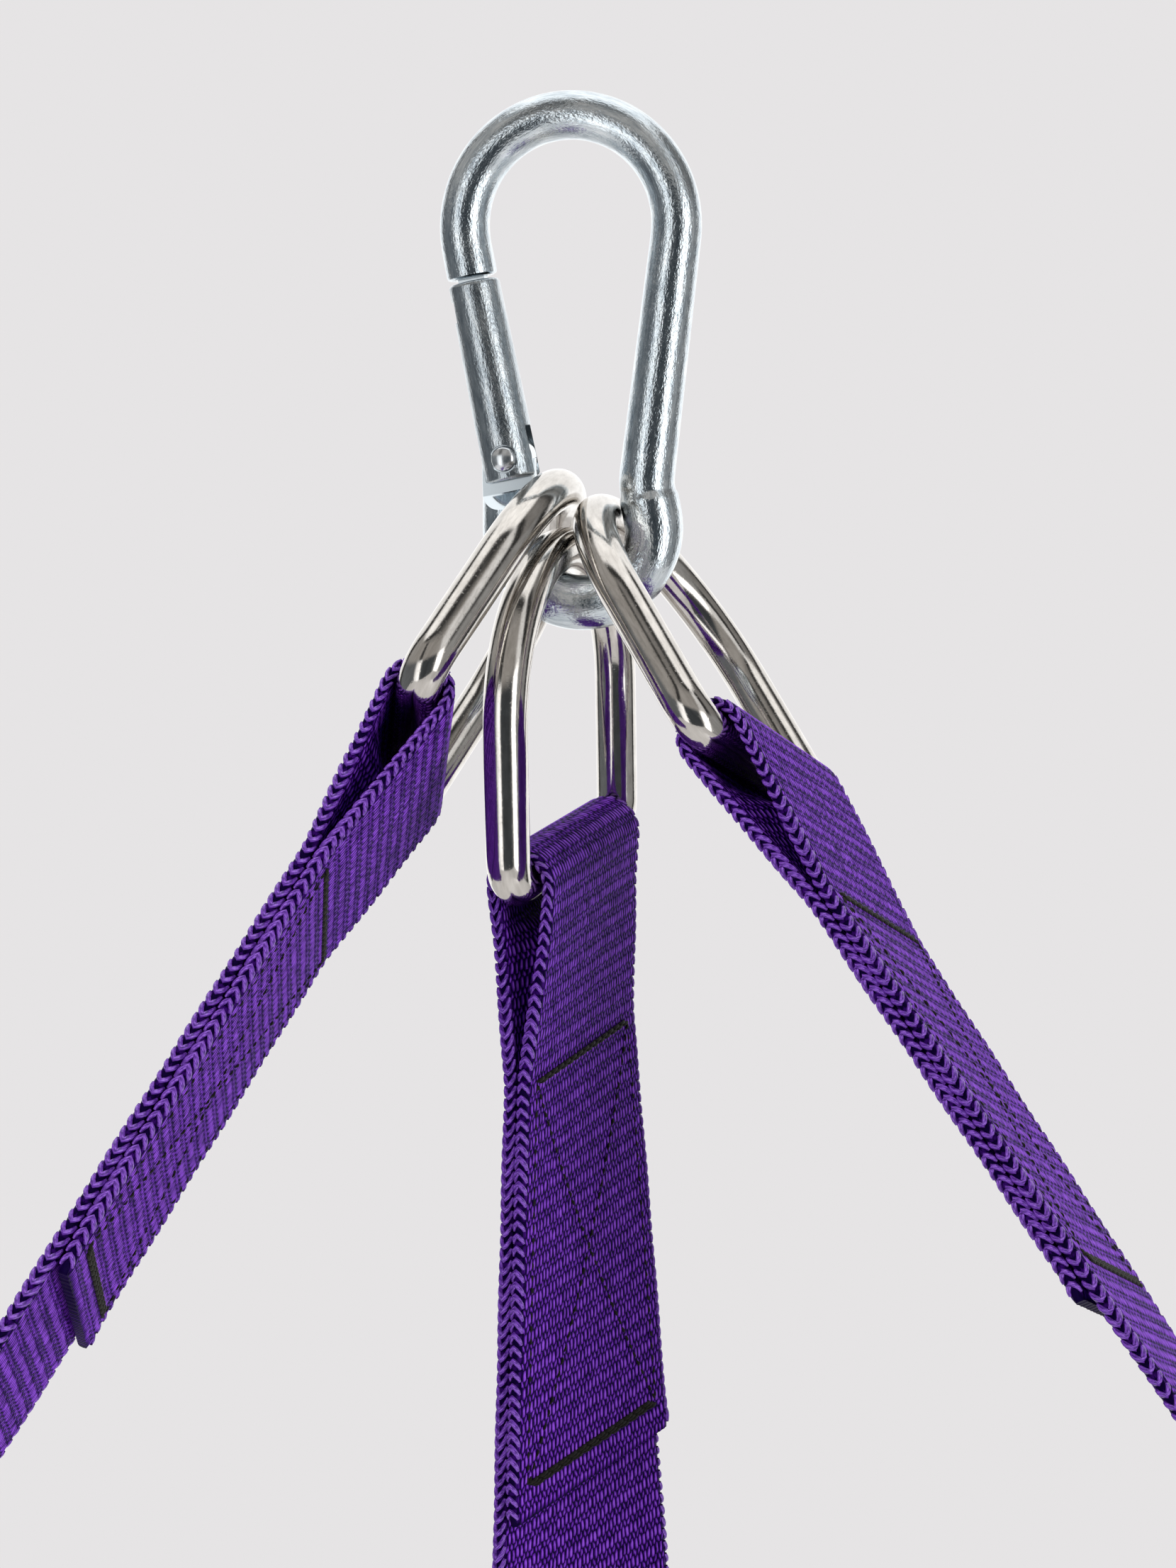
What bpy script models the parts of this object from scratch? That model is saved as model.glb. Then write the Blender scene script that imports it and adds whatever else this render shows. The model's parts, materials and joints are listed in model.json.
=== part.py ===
"""Swing suspension head: a sprung snap hook carries three welded D-rings, and a sewn webbing strap
hangs from the straight bar of each ring.

Frame: the hook lies in the XZ plane, +Z is up, and the origin is the hang point, the inner top of
the hook's big bow. Sizes are in millimetres, and MM turns them into metres.
"""

import math

import bmesh
import bpy
from mathutils import Matrix, Vector

MM = 0.001
# Cutters run this far past the wire
REACH = 9.0

# Snap hook body: one bent wire that is a little thicker at the foot than at the top
WIRE_TOP_R = 4.4
WIRE_FOOT_R = 5.15
WIRE_FOOT_Z = -62.0
BIG_BOW_R = 19.9
BIG_BOW_Z = -BIG_BOW_R + WIRE_TOP_R
SPINE_LEAN = math.radians(8.3)
SPINE_END_Z = -62.5
FOOT_BOW_R = 13.7
FOOT_BOW_X = 0.8
FOOT_BOW_Z = -71.2
TONGUE_ROOT = 8.0
HOOK_BEVEL_STEPS = 4

# Gate: a round bar that turns on a rivet. Heights G_... run along the gate from the rivet
RIVET_X = -12.7
RIVET_Z = -57.8
GATE_LEAN = math.radians(10.1)
GATE_TOP_R = 4.8
GATE_FOOT_R = 5.3
G_GATE_TOP = 33.2
G_GATE_FOOT = -4.0
G_NOSE_END = 34.0
NOSE_CHAMFER = 2.2
NOSE_END_R = 3.9
GATE_RIM = 0.7

# Latch: a T-shaped lug below the nose sits in a matching pocket of the gate, open on the outer side
LUG_NECK_Y = 3.0
LUG_HEAD_Y = 6.0
LUG_X = 5.0
G_LUG_HEAD_TOP = 29.5
G_LUG_FOOT = 27.0
LATCH_GAP_Y = 0.4
G_POCKET_TOP = 30.1
G_POCKET_FOOT = 26.3
POCKET_INNER_X = 3.6

# Hinge: a flat tongue on the body enters a slot in the gate's foot, and a domed rivet joins them
TONGUE_Y = 4.0
TONGUE_R = 4.8
TONGUE_TOP = 4.2
TONGUE_EYE_EXTRA = 0.8
G_RAMP_TOP = -6.0
HINGE_SLOT_Y = 4.6
G_SLOT_ROOF = 5.4
RIVET_R = 1.6
RIVET_HOLE_R = 1.8
RIVET_HEAD_R = 2.2
RIVET_DOME = 0.9
RIVET_GAP = 0.15
SPOT_FACE_R = 2.6
SPOT_FACE_Y = 4.85

# Gate spring and plunger, in a blind bore up the gate
BORE_R = 2.15
G_BORE_TOP = 24.0
PLUNGER_R = 1.85
G_PLUNGER_FOOT = 4.5
G_PLUNGER_SHOULDER = 9.5
G_PLUNGER_TOP = 14.0
PLUNGER_STEM_R = 0.7
SPRING_R = 1.35
SPRING_WIRE_R = 0.3
SPRING_TURNS = 8
SPRING_STEPS_PER_TURN = 10
SPRING_BEVEL_STEPS = 1
G_SPRING_FOOT = 10.1
G_SPRING_TOP = 23.4

# D-rings: 8 mm wire, 50 mm inside width, a half-round bow and a straight bar
RING_WIRE_R = 4.0
RING_HALF_WIDTH = 29.0
RING_LEG = 29.0
RING_CORNER_R = 5.5
RING_BEVEL_STEPS = 4

# Straps: webbing folded round the bar and sewn back on itself, with a sewn eye at the far end. It is
# pressed thinner where it bends over the bar. Distances S_... run down the strap from the bar's centre
WEB_WIDTH = 48.6
WEB_THICK = 2.8
TOP_EYE_R = 4.3
TOP_EYE_OUTER_R = 6.6
S_TOP_EYE_END = 33.0
S_TOP_TAIL_END = 113.0
S_LOW_TAIL_END = 165.0
S_LOW_EYE_START = 219.0
S_LOW_EYE = 240.0
LOW_EYE_R = 6.0
S_TWIST_START = 10.0
S_TWIST_END = 150.0
TWIST_CUTS = 5
LONGEST_STITCH_EDGE = 10.0

# Stitching: a sewn rectangle with a cross, on the strap's visible face
STITCH_WIDTH = 41.0
STITCH_LINE = 1.6
STITCH_THICK = 0.6
STITCH_GAP = 0.3
TOP_STITCH = (35.0, 107.0)
LOW_STITCH = (172.0, 214.0)

# Each set: the ring's arc centre, its rock (in its own plane), lean (in the hook's plane) and turn
# (about the vertical) in degrees, the hook wire's centre at its seat, then the strap's swing about
# the bar in degrees, its sideways drift per unit of length, its twist in degrees and its tail's side
SETS = {
    "left": {
        "centre": (-16.0, -5.3, -89.4),
        "rock": -38.0,
        "lean": 27.8,
        "turn": -1.0,
        "seat": (-12.8, 0.0, -66.0),
        "swing": 0.3,
        "drift": 0.065,
        "twist": 0.0,
        "tail_side": 1,
    },
    "centre": {
        "centre": (-2.9, -3.3, -103.6),
        "rock": 4.0,
        "lean": 2.0,
        "turn": -9.0,
        "seat": (-5.9, 0.0, -83.1),
        "swing": 5.8,
        "drift": -0.234,
        "twist": 22.5,
        "tail_side": 1,
    },
    "right": {
        "centre": (21.0, -1.0, -92.5),
        "rock": -26.0,
        "lean": -34.7,
        "turn": -0.5,
        "seat": (13.8, 0.0, -66.6),
        "swing": 2.0,
        "drift": 0.105,
        "twist": -4.5,
        "tail_side": -1,
    },
}


# ---------------------------------------------------------------- scene and materials


def clear_scene():
    for obj in list(bpy.data.objects):
        bpy.data.objects.remove(obj, do_unlink=True)


def new_collection(name):
    collection = bpy.data.collections.new(name)
    bpy.context.scene.collection.children.link(collection)
    return collection


def material(name, colour, metallic, roughness):
    made = bpy.data.materials.new(name)
    made.use_nodes = True
    shader = made.node_tree.nodes["Principled BSDF"]
    shader.inputs["Base Color"].default_value = (*colour, 1.0)
    shader.inputs["Metallic"].default_value = metallic
    shader.inputs["Roughness"].default_value = roughness
    return made


# ---------------------------------------------------------------- shape helpers


def add_object(name, data, collection):
    obj = bpy.data.objects.new(name, data)
    collection.objects.link(obj)
    return obj


def arc(centre, radius, start_deg, end_deg, steps):
    """Points on an arc in a plane, both ends included."""
    points = []
    for i in range(steps + 1):
        angle = math.radians(start_deg + (end_deg - start_deg) * i / steps)
        points.append((centre[0] + radius * math.cos(angle), centre[1] + radius * math.sin(angle)))
    return points


def poly_spline(curve, points, closed):
    spline = curve.splines.new("POLY")
    spline.points.add(len(points) - 1)
    for place, point in zip(spline.points, points):
        place.co = (*(Vector(point) * MM), 1.0)
    spline.use_cyclic_u = closed
    return spline


def wire(name, collection, points, radii, bevel_steps, closed=False):
    """A round wire through points (mm), with its own radius (mm) at each point."""
    curve = bpy.data.curves.new(name, "CURVE")
    curve.dimensions = "3D"
    curve.bevel_depth = MM
    curve.bevel_resolution = bevel_steps
    curve.use_fill_caps = not closed
    spline = poly_spline(curve, points, closed)
    for place, radius in zip(spline.points, radii):
        place.radius = radius
    return add_object(name, curve, collection)


def as_mesh(obj, turn=None):
    """The object as a welded mesh, its modifiers applied and its shape turned by a matrix."""
    bpy.context.view_layer.update()
    evaluated = obj.evaluated_get(bpy.context.evaluated_depsgraph_get())
    mesh = bpy.data.meshes.new_from_object(evaluated)
    shape = bmesh.new()
    shape.from_mesh(mesh)
    bmesh.ops.remove_doubles(shape, verts=shape.verts, dist=0.000002)
    if turn:
        bmesh.ops.transform(shape, matrix=turn, verts=shape.verts)
    shape.to_mesh(mesh)
    shape.free()
    name, collection, place = obj.name, obj.users_collection[0], obj.matrix_world.copy()
    bpy.data.objects.remove(obj, do_unlink=True)
    made = add_object(name, mesh, collection)
    made.matrix_world = place
    return made


# Turns a flat outline drawn in XY so that it lies in another plane, and its thickness along the third axis
TO_XZ = Matrix.Rotation(math.radians(90), 4, "X")
TO_YZ = Matrix(((0, 0, 1, 0), (1, 0, 0, 0), (0, 1, 0, 0), (0, 0, 0, 1)))


def plate(name, collection, outlines, half_thickness, turn):
    """A flat piece from closed outlines (mm), the later ones being holes, extruded both ways."""
    curve = bpy.data.curves.new(name, "CURVE")
    curve.dimensions = "2D"
    curve.fill_mode = "BOTH"
    curve.extrude = half_thickness * MM
    for outline in outlines:
        poly_spline(curve, [(x, y, 0.0) for x, y in outline], closed=True)
    return as_mesh(add_object(name, curve, collection), turn)


def turned(name, collection, profile, steps):
    """A turned piece about Z from profile points (radius, height) in mm, outer side from the top down."""
    mesh = bpy.data.meshes.new(name)
    points = [(radius * MM, 0.0, height * MM) for radius, height in profile]
    mesh.from_pydata(points, [(i, i + 1) for i in range(len(points) - 1)], [])
    obj = add_object(name, mesh, collection)
    screw = obj.modifiers.new("Turn", "SCREW")
    screw.axis = "Z"
    screw.steps = steps
    screw.render_steps = steps
    screw.use_merge_vertices = True
    screw.merge_threshold = 0.00001
    return obj


def box(name, collection, low, high):
    """A box between two corners (mm)."""
    mesh = bpy.data.meshes.new(name)
    low, high = Vector(low) * MM, Vector(high) * MM
    shape = bmesh.new()
    bmesh.ops.create_cube(shape, size=1.0)
    bmesh.ops.scale(shape, vec=high - low, verts=shape.verts)
    bmesh.ops.translate(shape, vec=(low + high) / 2, verts=shape.verts)
    shape.to_mesh(mesh)
    shape.free()
    return add_object(name, mesh, collection)


def cylinder(name, collection, radius, low, high, axis, sides=24):
    """A cylinder about the local Y or Z axis, from low to high (mm) along it."""
    mesh = bpy.data.meshes.new(name)
    shape = bmesh.new()
    size = radius * MM
    bmesh.ops.create_cone(
        shape, cap_ends=True, segments=sides, radius1=size, radius2=size, depth=(high - low) * MM
    )
    bmesh.ops.translate(shape, vec=(0, 0, (low + high) / 2 * MM), verts=shape.verts)
    if axis == "Y":
        turn = Matrix.Rotation(math.radians(-90), 3, "X")
        bmesh.ops.rotate(shape, cent=(0, 0, 0), matrix=turn, verts=shape.verts)
    shape.to_mesh(mesh)
    shape.free()
    return add_object(name, mesh, collection)


def combine(obj, tool, operation, place):
    """Adds or removes a tool shape that sits at place, and hides the tool."""
    tool.matrix_world = place
    tool.hide_render = True
    tool.display_type = "WIRE"
    step = obj.modifiers.new(tool.name, "BOOLEAN")
    step.operation = operation
    step.solver = "EXACT"
    step.object = tool


def finish_with(obj, finish):
    obj.data.materials.clear()
    obj.data.materials.append(finish)
    if obj.type == "MESH":
        obj.data.shade_smooth()
        obj.data.set_sharp_from_angle(angle=math.radians(35))


# ---------------------------------------------------------------- hook body


def gate_frame():
    """World placement of the gate's own frame: origin on the rivet, Z up the gate, X inwards."""
    return Matrix.Translation(Vector((RIVET_X, 0, RIVET_Z)) * MM) @ Matrix.Rotation(-GATE_LEAN, 4, "Y")


def along_gate(height):
    """The hook-plane point (x, z) at a height along the gate's line."""
    return (RIVET_X - math.sin(GATE_LEAN) * height, RIVET_Z + math.cos(GATE_LEAN) * height)


def hook_wire_radius(z):
    share = (WIRE_TOP_R - z) / (WIRE_TOP_R - WIRE_FOOT_Z)
    return WIRE_TOP_R + (WIRE_FOOT_R - WIRE_TOP_R) * min(max(share, 0.0), 1.0)


def hook_centreline():
    """The wire's centre (x, z) from the nose, over the big bow, down the spine and round the foot."""
    nose = [along_gate(G_NOSE_END), along_gate(G_NOSE_END + NOSE_CHAMFER)]
    bow_start = 180 + math.degrees(GATE_LEAN)
    big_bow = arc((0.0, BIG_BOW_Z), BIG_BOW_R, bow_start, -math.degrees(SPINE_LEAN), 22)
    spine_x = big_bow[-1][0] - math.tan(SPINE_LEAN) * (big_bow[-1][1] - SPINE_END_Z)
    step_out = (FOOT_BOW_X + FOOT_BOW_R - spine_x) / 4
    step_down = (SPINE_END_Z - FOOT_BOW_Z) / 3
    spine = [
        (spine_x, SPINE_END_Z),
        (spine_x + step_out, SPINE_END_Z - step_down),
        (spine_x + 3 * step_out, SPINE_END_Z - 2 * step_down),
    ]
    foot_bow = arc((FOOT_BOW_X, FOOT_BOW_Z), FOOT_BOW_R, 0, -180, 16)
    tongue = [(RIVET_X, RIVET_Z - TONGUE_ROOT), (RIVET_X, RIVET_Z)]
    return nose + big_bow + spine + foot_bow + tongue


def ramp_outline(side):
    """Profile (y, z) cut from one side of the tongue, with a sloping shoulder at its foot."""
    inner, outer, top = TONGUE_Y / 2, REACH, TONGUE_TOP + REACH
    shoulder = G_RAMP_TOP - (outer - inner)
    return [(side * inner, top), (side * inner, G_RAMP_TOP), (side * outer, shoulder), (side * outer, top)]


def lug_outline():
    """Front view (y, z) of the T-shaped lug, its neck rooted inside the nose."""
    neck, head = LUG_NECK_Y / 2, LUG_HEAD_Y / 2
    right = [(head, G_LUG_FOOT), (head, G_LUG_HEAD_TOP), (neck, G_LUG_HEAD_TOP), (neck, G_NOSE_END + 3)]
    return right + [(-y, z) for y, z in reversed(right)]


def make_hook_body(parts, cutters, finish):
    line = hook_centreline()
    radii = [hook_wire_radius(z) for _, z in line]
    radii[0] = NOSE_END_R
    radii[-1] = TONGUE_R
    body = as_mesh(wire("hook_body", parts, [(x, 0.0, z) for x, z in line], radii, HOOK_BEVEL_STEPS))

    place = gate_frame()
    # The eye is left thicker than the tongue, and the ramps then cut both flush
    eye_half = TONGUE_Y / 2 + TONGUE_EYE_EXTRA
    eye = cylinder("tongue_eye", cutters, TONGUE_R, -eye_half, eye_half, "Y", sides=32)
    flat = box("tongue_flat", cutters, (-REACH, -REACH, TONGUE_TOP), (REACH, REACH, TONGUE_TOP + REACH))
    lug = plate("latch_lug", cutters, [lug_outline()], LUG_X / 2, TO_YZ)
    hole = cylinder("tongue_hole", cutters, RIVET_HOLE_R, -REACH, REACH, "Y")

    combine(body, eye, "UNION", place)
    for side, word in ((-1, "front"), (1, "back")):
        ramp = plate(f"tongue_ramp_{word}", cutters, [ramp_outline(side)], REACH, TO_YZ)
        combine(body, ramp, "DIFFERENCE", place)
    combine(body, flat, "DIFFERENCE", place)
    combine(body, lug, "UNION", place)
    combine(body, hole, "DIFFERENCE", place)
    finish_with(body, finish)


# ---------------------------------------------------------------- gate


def gate_profile():
    """Half section of the gate bar, with rounded rims, from the top down."""
    top, foot, rim = G_GATE_TOP, G_GATE_FOOT, GATE_RIM
    return [
        (0, top),
        (GATE_TOP_R - rim, top),
        (GATE_TOP_R, top - rim),
        (GATE_FOOT_R, 0),
        (GATE_FOOT_R, foot + rim),
        (GATE_FOOT_R - rim, foot),
        (0, foot),
    ]


def make_gate(parts, cutters, finish):
    gate = as_mesh(turned("gate", parts, gate_profile(), 32))
    place = gate_frame()
    gate.matrix_world = place
    neck_y = LUG_NECK_Y / 2 + LATCH_GAP_Y
    head_y = LUG_HEAD_Y / 2 + LATCH_GAP_Y
    slot_y = HINGE_SLOT_Y / 2
    tools = [
        box("latch_slot", cutters, (-REACH, -neck_y, G_POCKET_FOOT + 1), (POCKET_INNER_X, neck_y, REACH + G_GATE_TOP)),
        box("latch_pocket", cutters, (-REACH, -head_y, G_POCKET_FOOT), (POCKET_INNER_X, head_y, G_POCKET_TOP)),
        box("hinge_slot", cutters, (-REACH, -slot_y, -REACH), (REACH, slot_y, G_SLOT_ROOF)),
        cylinder("spring_bore", cutters, BORE_R, G_SLOT_ROOF - 1, G_BORE_TOP, "Z", sides=20),
        cylinder("gate_hole", cutters, RIVET_HOLE_R, -REACH, REACH, "Y"),
        cylinder("spot_face_front", cutters, SPOT_FACE_R, -REACH, -SPOT_FACE_Y, "Y"),
        cylinder("spot_face_back", cutters, SPOT_FACE_R, SPOT_FACE_Y, REACH, "Y"),
    ]
    for tool in tools:
        combine(gate, tool, "DIFFERENCE", place)
    finish_with(gate, finish)


def make_gate_rivet(parts, finish):
    """A rivet along Y with a low dome at each end; its profile is turned about its own length."""
    underside = SPOT_FACE_Y + RIVET_GAP
    dome = []
    for i in range(5):
        angle = math.radians(90 - 90 * i / 4)
        dome.append((RIVET_HEAD_R * math.cos(angle), underside + RIVET_DOME * math.sin(angle)))
    half = dome + [(RIVET_R, underside)]
    profile = half + [(radius, -height) for radius, height in reversed(half)]
    rivet = turned("gate_rivet", parts, profile, 24)
    rivet = as_mesh(rivet, Matrix.Rotation(math.radians(90), 4, "X"))
    rivet.matrix_world = gate_frame()
    finish_with(rivet, finish)


def make_gate_plunger(parts, finish):
    profile = [
        (0, G_PLUNGER_TOP),
        (PLUNGER_STEM_R, G_PLUNGER_TOP),
        (PLUNGER_STEM_R, G_PLUNGER_SHOULDER),
        (PLUNGER_R, G_PLUNGER_SHOULDER),
        (PLUNGER_R, G_PLUNGER_FOOT),
        (0, G_PLUNGER_FOOT),
    ]
    plunger = as_mesh(turned("gate_plunger", parts, profile, 20))
    plunger.matrix_world = gate_frame()
    finish_with(plunger, finish)


def make_gate_spring(parts, finish):
    steps = SPRING_TURNS * SPRING_STEPS_PER_TURN
    points = []
    for i in range(steps + 1):
        angle = 2 * math.pi * i / SPRING_STEPS_PER_TURN
        height = G_SPRING_FOOT + (G_SPRING_TOP - G_SPRING_FOOT) * i / steps
        points.append((SPRING_R * math.cos(angle), SPRING_R * math.sin(angle), height))
    spring = wire("gate_spring", parts, points, [SPRING_WIRE_R] * len(points), SPRING_BEVEL_STEPS)
    spring.matrix_world = gate_frame()
    finish_with(spring, finish)


# ---------------------------------------------------------------- D-rings


def ring_centreline():
    """Closed centreline (y, z) about the bow's centre: half-round bow, two legs and the bar."""
    half, leg, corner = RING_HALF_WIDTH, RING_LEG, RING_CORNER_R
    low = -leg + corner
    bow = arc((0, 0), half, 0, 180, 24)
    near_corner = arc((-half + corner, low), corner, 180, 270, 4)
    far_corner = arc((half - corner, low), corner, 270, 360, 4)
    return bow + near_corner + far_corner


def make_ring(side, plan, parts, finish):
    """A D-ring under an empty that sits on the hook wire's centre, where the ring swings."""
    pivot = add_object(f"{side}_ring_pivot", None, parts)
    seat = Vector(plan["seat"]) * MM
    pivot.location = seat
    points = [(0.0, y, z) for y, z in ring_centreline()]
    ring = wire(f"{side}_d_ring", parts, points, [RING_WIRE_R] * len(points), RING_BEVEL_STEPS, closed=True)
    ring.parent = pivot
    ring.location = Vector(plan["centre"]) * MM - seat
    ring.rotation_euler = [math.radians(plan[turn]) for turn in ("rock", "lean", "turn")]
    finish_with(ring, finish)
    return ring


# ---------------------------------------------------------------- straps


def run(start, end, steps):
    """Points on a straight run, without its start."""
    return [
        (start[0] + (end[0] - start[0]) * i / steps, start[1] + (end[1] - start[1]) * i / steps)
        for i in range(1, steps + 1)
    ]


def teardrop(radius, centre_z, tip_z, steps):
    """A loop's open eye (x, z): a round end at the centre, closing to a tip."""
    reach = abs(tip_z - centre_z)
    touch = math.degrees(math.asin(radius / reach))
    if tip_z < centre_z:
        round_end = arc((0, centre_z), radius, -touch, 180 + touch, steps)
    else:
        round_end = arc((0, centre_z), radius, 180 - touch, 360 + touch, steps)
    return round_end + [(0, tip_z)]


def strap_outline(tail):
    """Side view (x, z) of the folded strap; tail is the side, +1 or -1, that carries the cut ends."""
    thick = WEB_THICK
    top_r, low_r = TOP_EYE_OUTER_R, LOW_EYE_R + thick
    flat_top, flat_low = -S_TOP_EYE_END, -S_LOW_EYE_START
    top_touch = math.degrees(math.asin((top_r - thick) / S_TOP_EYE_END))
    low_touch = math.degrees(math.asin((low_r - thick) / (S_LOW_EYE - S_LOW_EYE_START)))
    # The tail's side, upwards from the lower eye, is drawn at +X and mirrored afterwards if need be
    outline = arc((0, 0), top_r, 180 + top_touch, -top_touch, 16)
    outline += run(outline[-1], (thick, flat_top), 2)
    outline += run((thick, flat_top), (thick, -S_TOP_TAIL_END), 6)
    outline += [(0, -S_TOP_TAIL_END)]
    outline += run((0, -S_TOP_TAIL_END), (0, -S_LOW_TAIL_END), 4)
    outline += [(thick, -S_LOW_TAIL_END), (thick, flat_low)]
    outline += arc((0, -S_LOW_EYE), low_r, low_touch, -180 - low_touch, 16)
    outline += [(-thick, flat_low)]
    outline += run((-thick, flat_low), (-thick, flat_top), 14)
    return [(tail * x, z) for x, z in outline]


def cut_across(obj, cuts):
    """Divides a strap across its width, so that its faces can twist smoothly."""
    shape = bmesh.new()
    shape.from_mesh(obj.data)
    for i in range(1, cuts + 1):
        place = (i / (cuts + 1) - 0.5) * WEB_WIDTH * MM
        whole = list(shape.verts) + list(shape.edges) + list(shape.faces)
        bmesh.ops.bisect_plane(shape, geom=whole, plane_co=(0, place, 0), plane_no=(0, 1, 0), dist=0.000001)
    shape.to_mesh(obj.data)
    shape.free()


def lay_along_strap(obj, drift, twist_deg):
    """Lets a straight piece drift sideways and twist as the strap does. Points are in the strap's frame."""
    reach = S_TWIST_END - S_TWIST_START
    for vertex in obj.data.vertices:
        along = -vertex.co.z / MM
        share = min(max((along - S_TWIST_START) / reach, 0.0), 1.0)
        angle = math.radians(twist_deg) * share
        x, y = vertex.co.x, vertex.co.y
        vertex.co.x = x * math.cos(angle) + y * math.sin(angle)
        vertex.co.y = y * math.cos(angle) - x * math.sin(angle) + drift * max(along, 0.0) * MM


def make_strap(side, plan, ring, parts, finish):
    """A strap whose origin is on its ring's bar, the axis that it pivots about."""
    outlines = [
        strap_outline(plan["tail_side"]),
        teardrop(TOP_EYE_R, 0.0, -S_TOP_EYE_END, 12),
        teardrop(LOW_EYE_R, -S_LOW_EYE, -S_LOW_EYE_START, 12),
    ]
    strap = plate(f"{side}_strap", parts, outlines, WEB_WIDTH / 2, TO_XZ)
    if plan["twist"]:
        cut_across(strap, TWIST_CUTS)
    lay_along_strap(strap, plan["drift"], plan["twist"])
    strap.parent = ring
    strap.location = (0, 0, -RING_LEG * MM)
    strap.rotation_euler = (0, math.radians(-plan["swing"]), 0)
    finish_with(strap, finish)
    return strap


# ---------------------------------------------------------------- stitching


def split_edges(outline, longest):
    """The same outline with its long edges divided, so that it can follow a twist."""
    points = []
    for start, end in zip(outline, outline[1:] + outline[:1]):
        steps = max(1, math.ceil(math.dist(start, end) / longest))
        points += run(start, end, steps)
    return points


def box_cross_outlines(top, foot):
    """Outlines (y, z) of a sewn rectangle with a cross: the rim and the four gaps inside it."""
    half_y, half_z = STITCH_WIDTH / 2, (foot - top) / 2
    middle = -(top + foot) / 2
    line = STITCH_LINE
    rim = [(-half_y, -half_z), (half_y, -half_z), (half_y, half_z), (-half_y, half_z)]
    in_y, in_z = half_y - line, half_z - line
    slope = math.hypot(in_y, in_z)
    off_y, off_z = line * slope / (2 * in_z), line * slope / (2 * in_y)
    gaps = []
    for sign in (1, -1):
        gaps.append([(sign * (in_y - off_y), sign * in_z), (0, sign * off_z), (-sign * (in_y - off_y), sign * in_z)])
        gaps.append([(sign * in_y, -sign * (in_z - off_z)), (sign * off_y, 0), (sign * in_y, sign * (in_z - off_z))])
    return [[(y, z + middle) for y, z in split_edges(outline, LONGEST_STITCH_EDGE)] for outline in [rim] + gaps]


def make_stitching(name, ends, plan, strap, parts, finish):
    """A box and cross of thread on the strap's visible face (+X)."""
    stitching = plate(name, parts, box_cross_outlines(*ends), STITCH_THICK / 2, TO_YZ)
    lift = (WEB_THICK + STITCH_GAP + STITCH_THICK / 2) * MM
    for vertex in stitching.data.vertices:
        vertex.co.x += lift
    lay_along_strap(stitching, plan["drift"], plan["twist"])
    stitching.parent = strap
    finish_with(stitching, finish)


def main():
    clear_scene()
    parts = new_collection("swing_suspension_head")
    cutters = new_collection("cutters")
    zinc = material("zinc_plated_steel", (0.62, 0.66, 0.70), 1.0, 0.32)
    nickel = material("nickel_plated_steel", (0.68, 0.66, 0.62), 1.0, 0.12)
    spring_steel = material("spring_steel", (0.45, 0.46, 0.48), 1.0, 0.35)
    webbing = material("purple_webbing", (0.11, 0.03, 0.30), 0.0, 0.75)
    thread = material("black_thread", (0.02, 0.02, 0.022), 0.0, 0.7)

    make_hook_body(parts, cutters, zinc)
    make_gate(parts, cutters, zinc)
    make_gate_rivet(parts, zinc)
    make_gate_plunger(parts, spring_steel)
    make_gate_spring(parts, spring_steel)
    for side, plan in SETS.items():
        ring = make_ring(side, plan, parts, nickel)
        strap = make_strap(side, plan, ring, parts, webbing)
        make_stitching(f"{side}_upper_stitching", TOP_STITCH, plan, strap, parts, thread)
        make_stitching(f"{side}_lower_stitching", LOW_STITCH, plan, strap, parts, thread)


main()
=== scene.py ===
"""Looks of the swing suspension head: a snap hook, three D-rings and three sewn webbing straps.

Everything is in the part's own frame, in metres: +Z is up, the hook lies in the XZ plane and the
origin is the hang point. MM turns millimetres into metres. Rings and straps take their places from
the joints that they turn on.
"""

import json
import math

import bmesh
import bpy
import numpy as np
from mathutils import Matrix, Vector


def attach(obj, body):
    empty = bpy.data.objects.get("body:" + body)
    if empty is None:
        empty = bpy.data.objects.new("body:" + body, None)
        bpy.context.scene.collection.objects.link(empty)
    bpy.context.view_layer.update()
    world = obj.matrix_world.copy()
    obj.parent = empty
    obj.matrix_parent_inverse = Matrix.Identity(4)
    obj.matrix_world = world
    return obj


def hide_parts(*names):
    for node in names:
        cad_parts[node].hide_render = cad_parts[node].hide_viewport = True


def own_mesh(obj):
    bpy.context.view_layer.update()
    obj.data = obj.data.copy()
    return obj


MM = 0.001
SIDES = ("left", "centre", "right")

# Camera: direction in degrees, then place and lens
CAMERA_YAW = 11.45
CAMERA_DOWN = 7.45
CAMERA_ROLL = 1.43
CAMERA_PLACE = (0.1012, -0.4958, -0.0530)
CAMERA_LENS = 62.0
FRAME_HEIGHT = 36.0

# Backdrop and floor as the camera sees them
BACKDROP = (0.791, 0.776, 0.783)

# Snap hook (mm), as the CAD has it. G_ is a height up the gate from its rivet, and so are LUG_FOOT,
# LUG_HEAD_TOP, LATCH_SLOT_FOOT and LATCH_POCKET.
WIRE_TOP_R = 4.4
WIRE_FOOT_R = 5.15
WIRE_FOOT_Z = -62.0
STEP_BELOW_SPINE = 2.2
STEP_LENGTH = 0.9
STEP_SWELL = 0.35
STEP_FADE_Z = -78.0
STEP_FADE_LENGTH = 8.0
BIG_BOW_R = 19.9
BIG_BOW_Z = -BIG_BOW_R + WIRE_TOP_R
SPINE_LEAN = math.radians(8.3)
SPINE_END_Z = -62.5
FOOT_BOW_R = 13.7
FOOT_BOW_X = 0.8
FOOT_BOW_Z = -71.2
RIVET_X = -12.7
RIVET_Z = -57.8
GATE_LEAN = math.radians(10.1)
GATE_TOP_R = 4.8
GATE_FOOT_R = 5.3
G_GATE_TOP = 33.2
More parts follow.
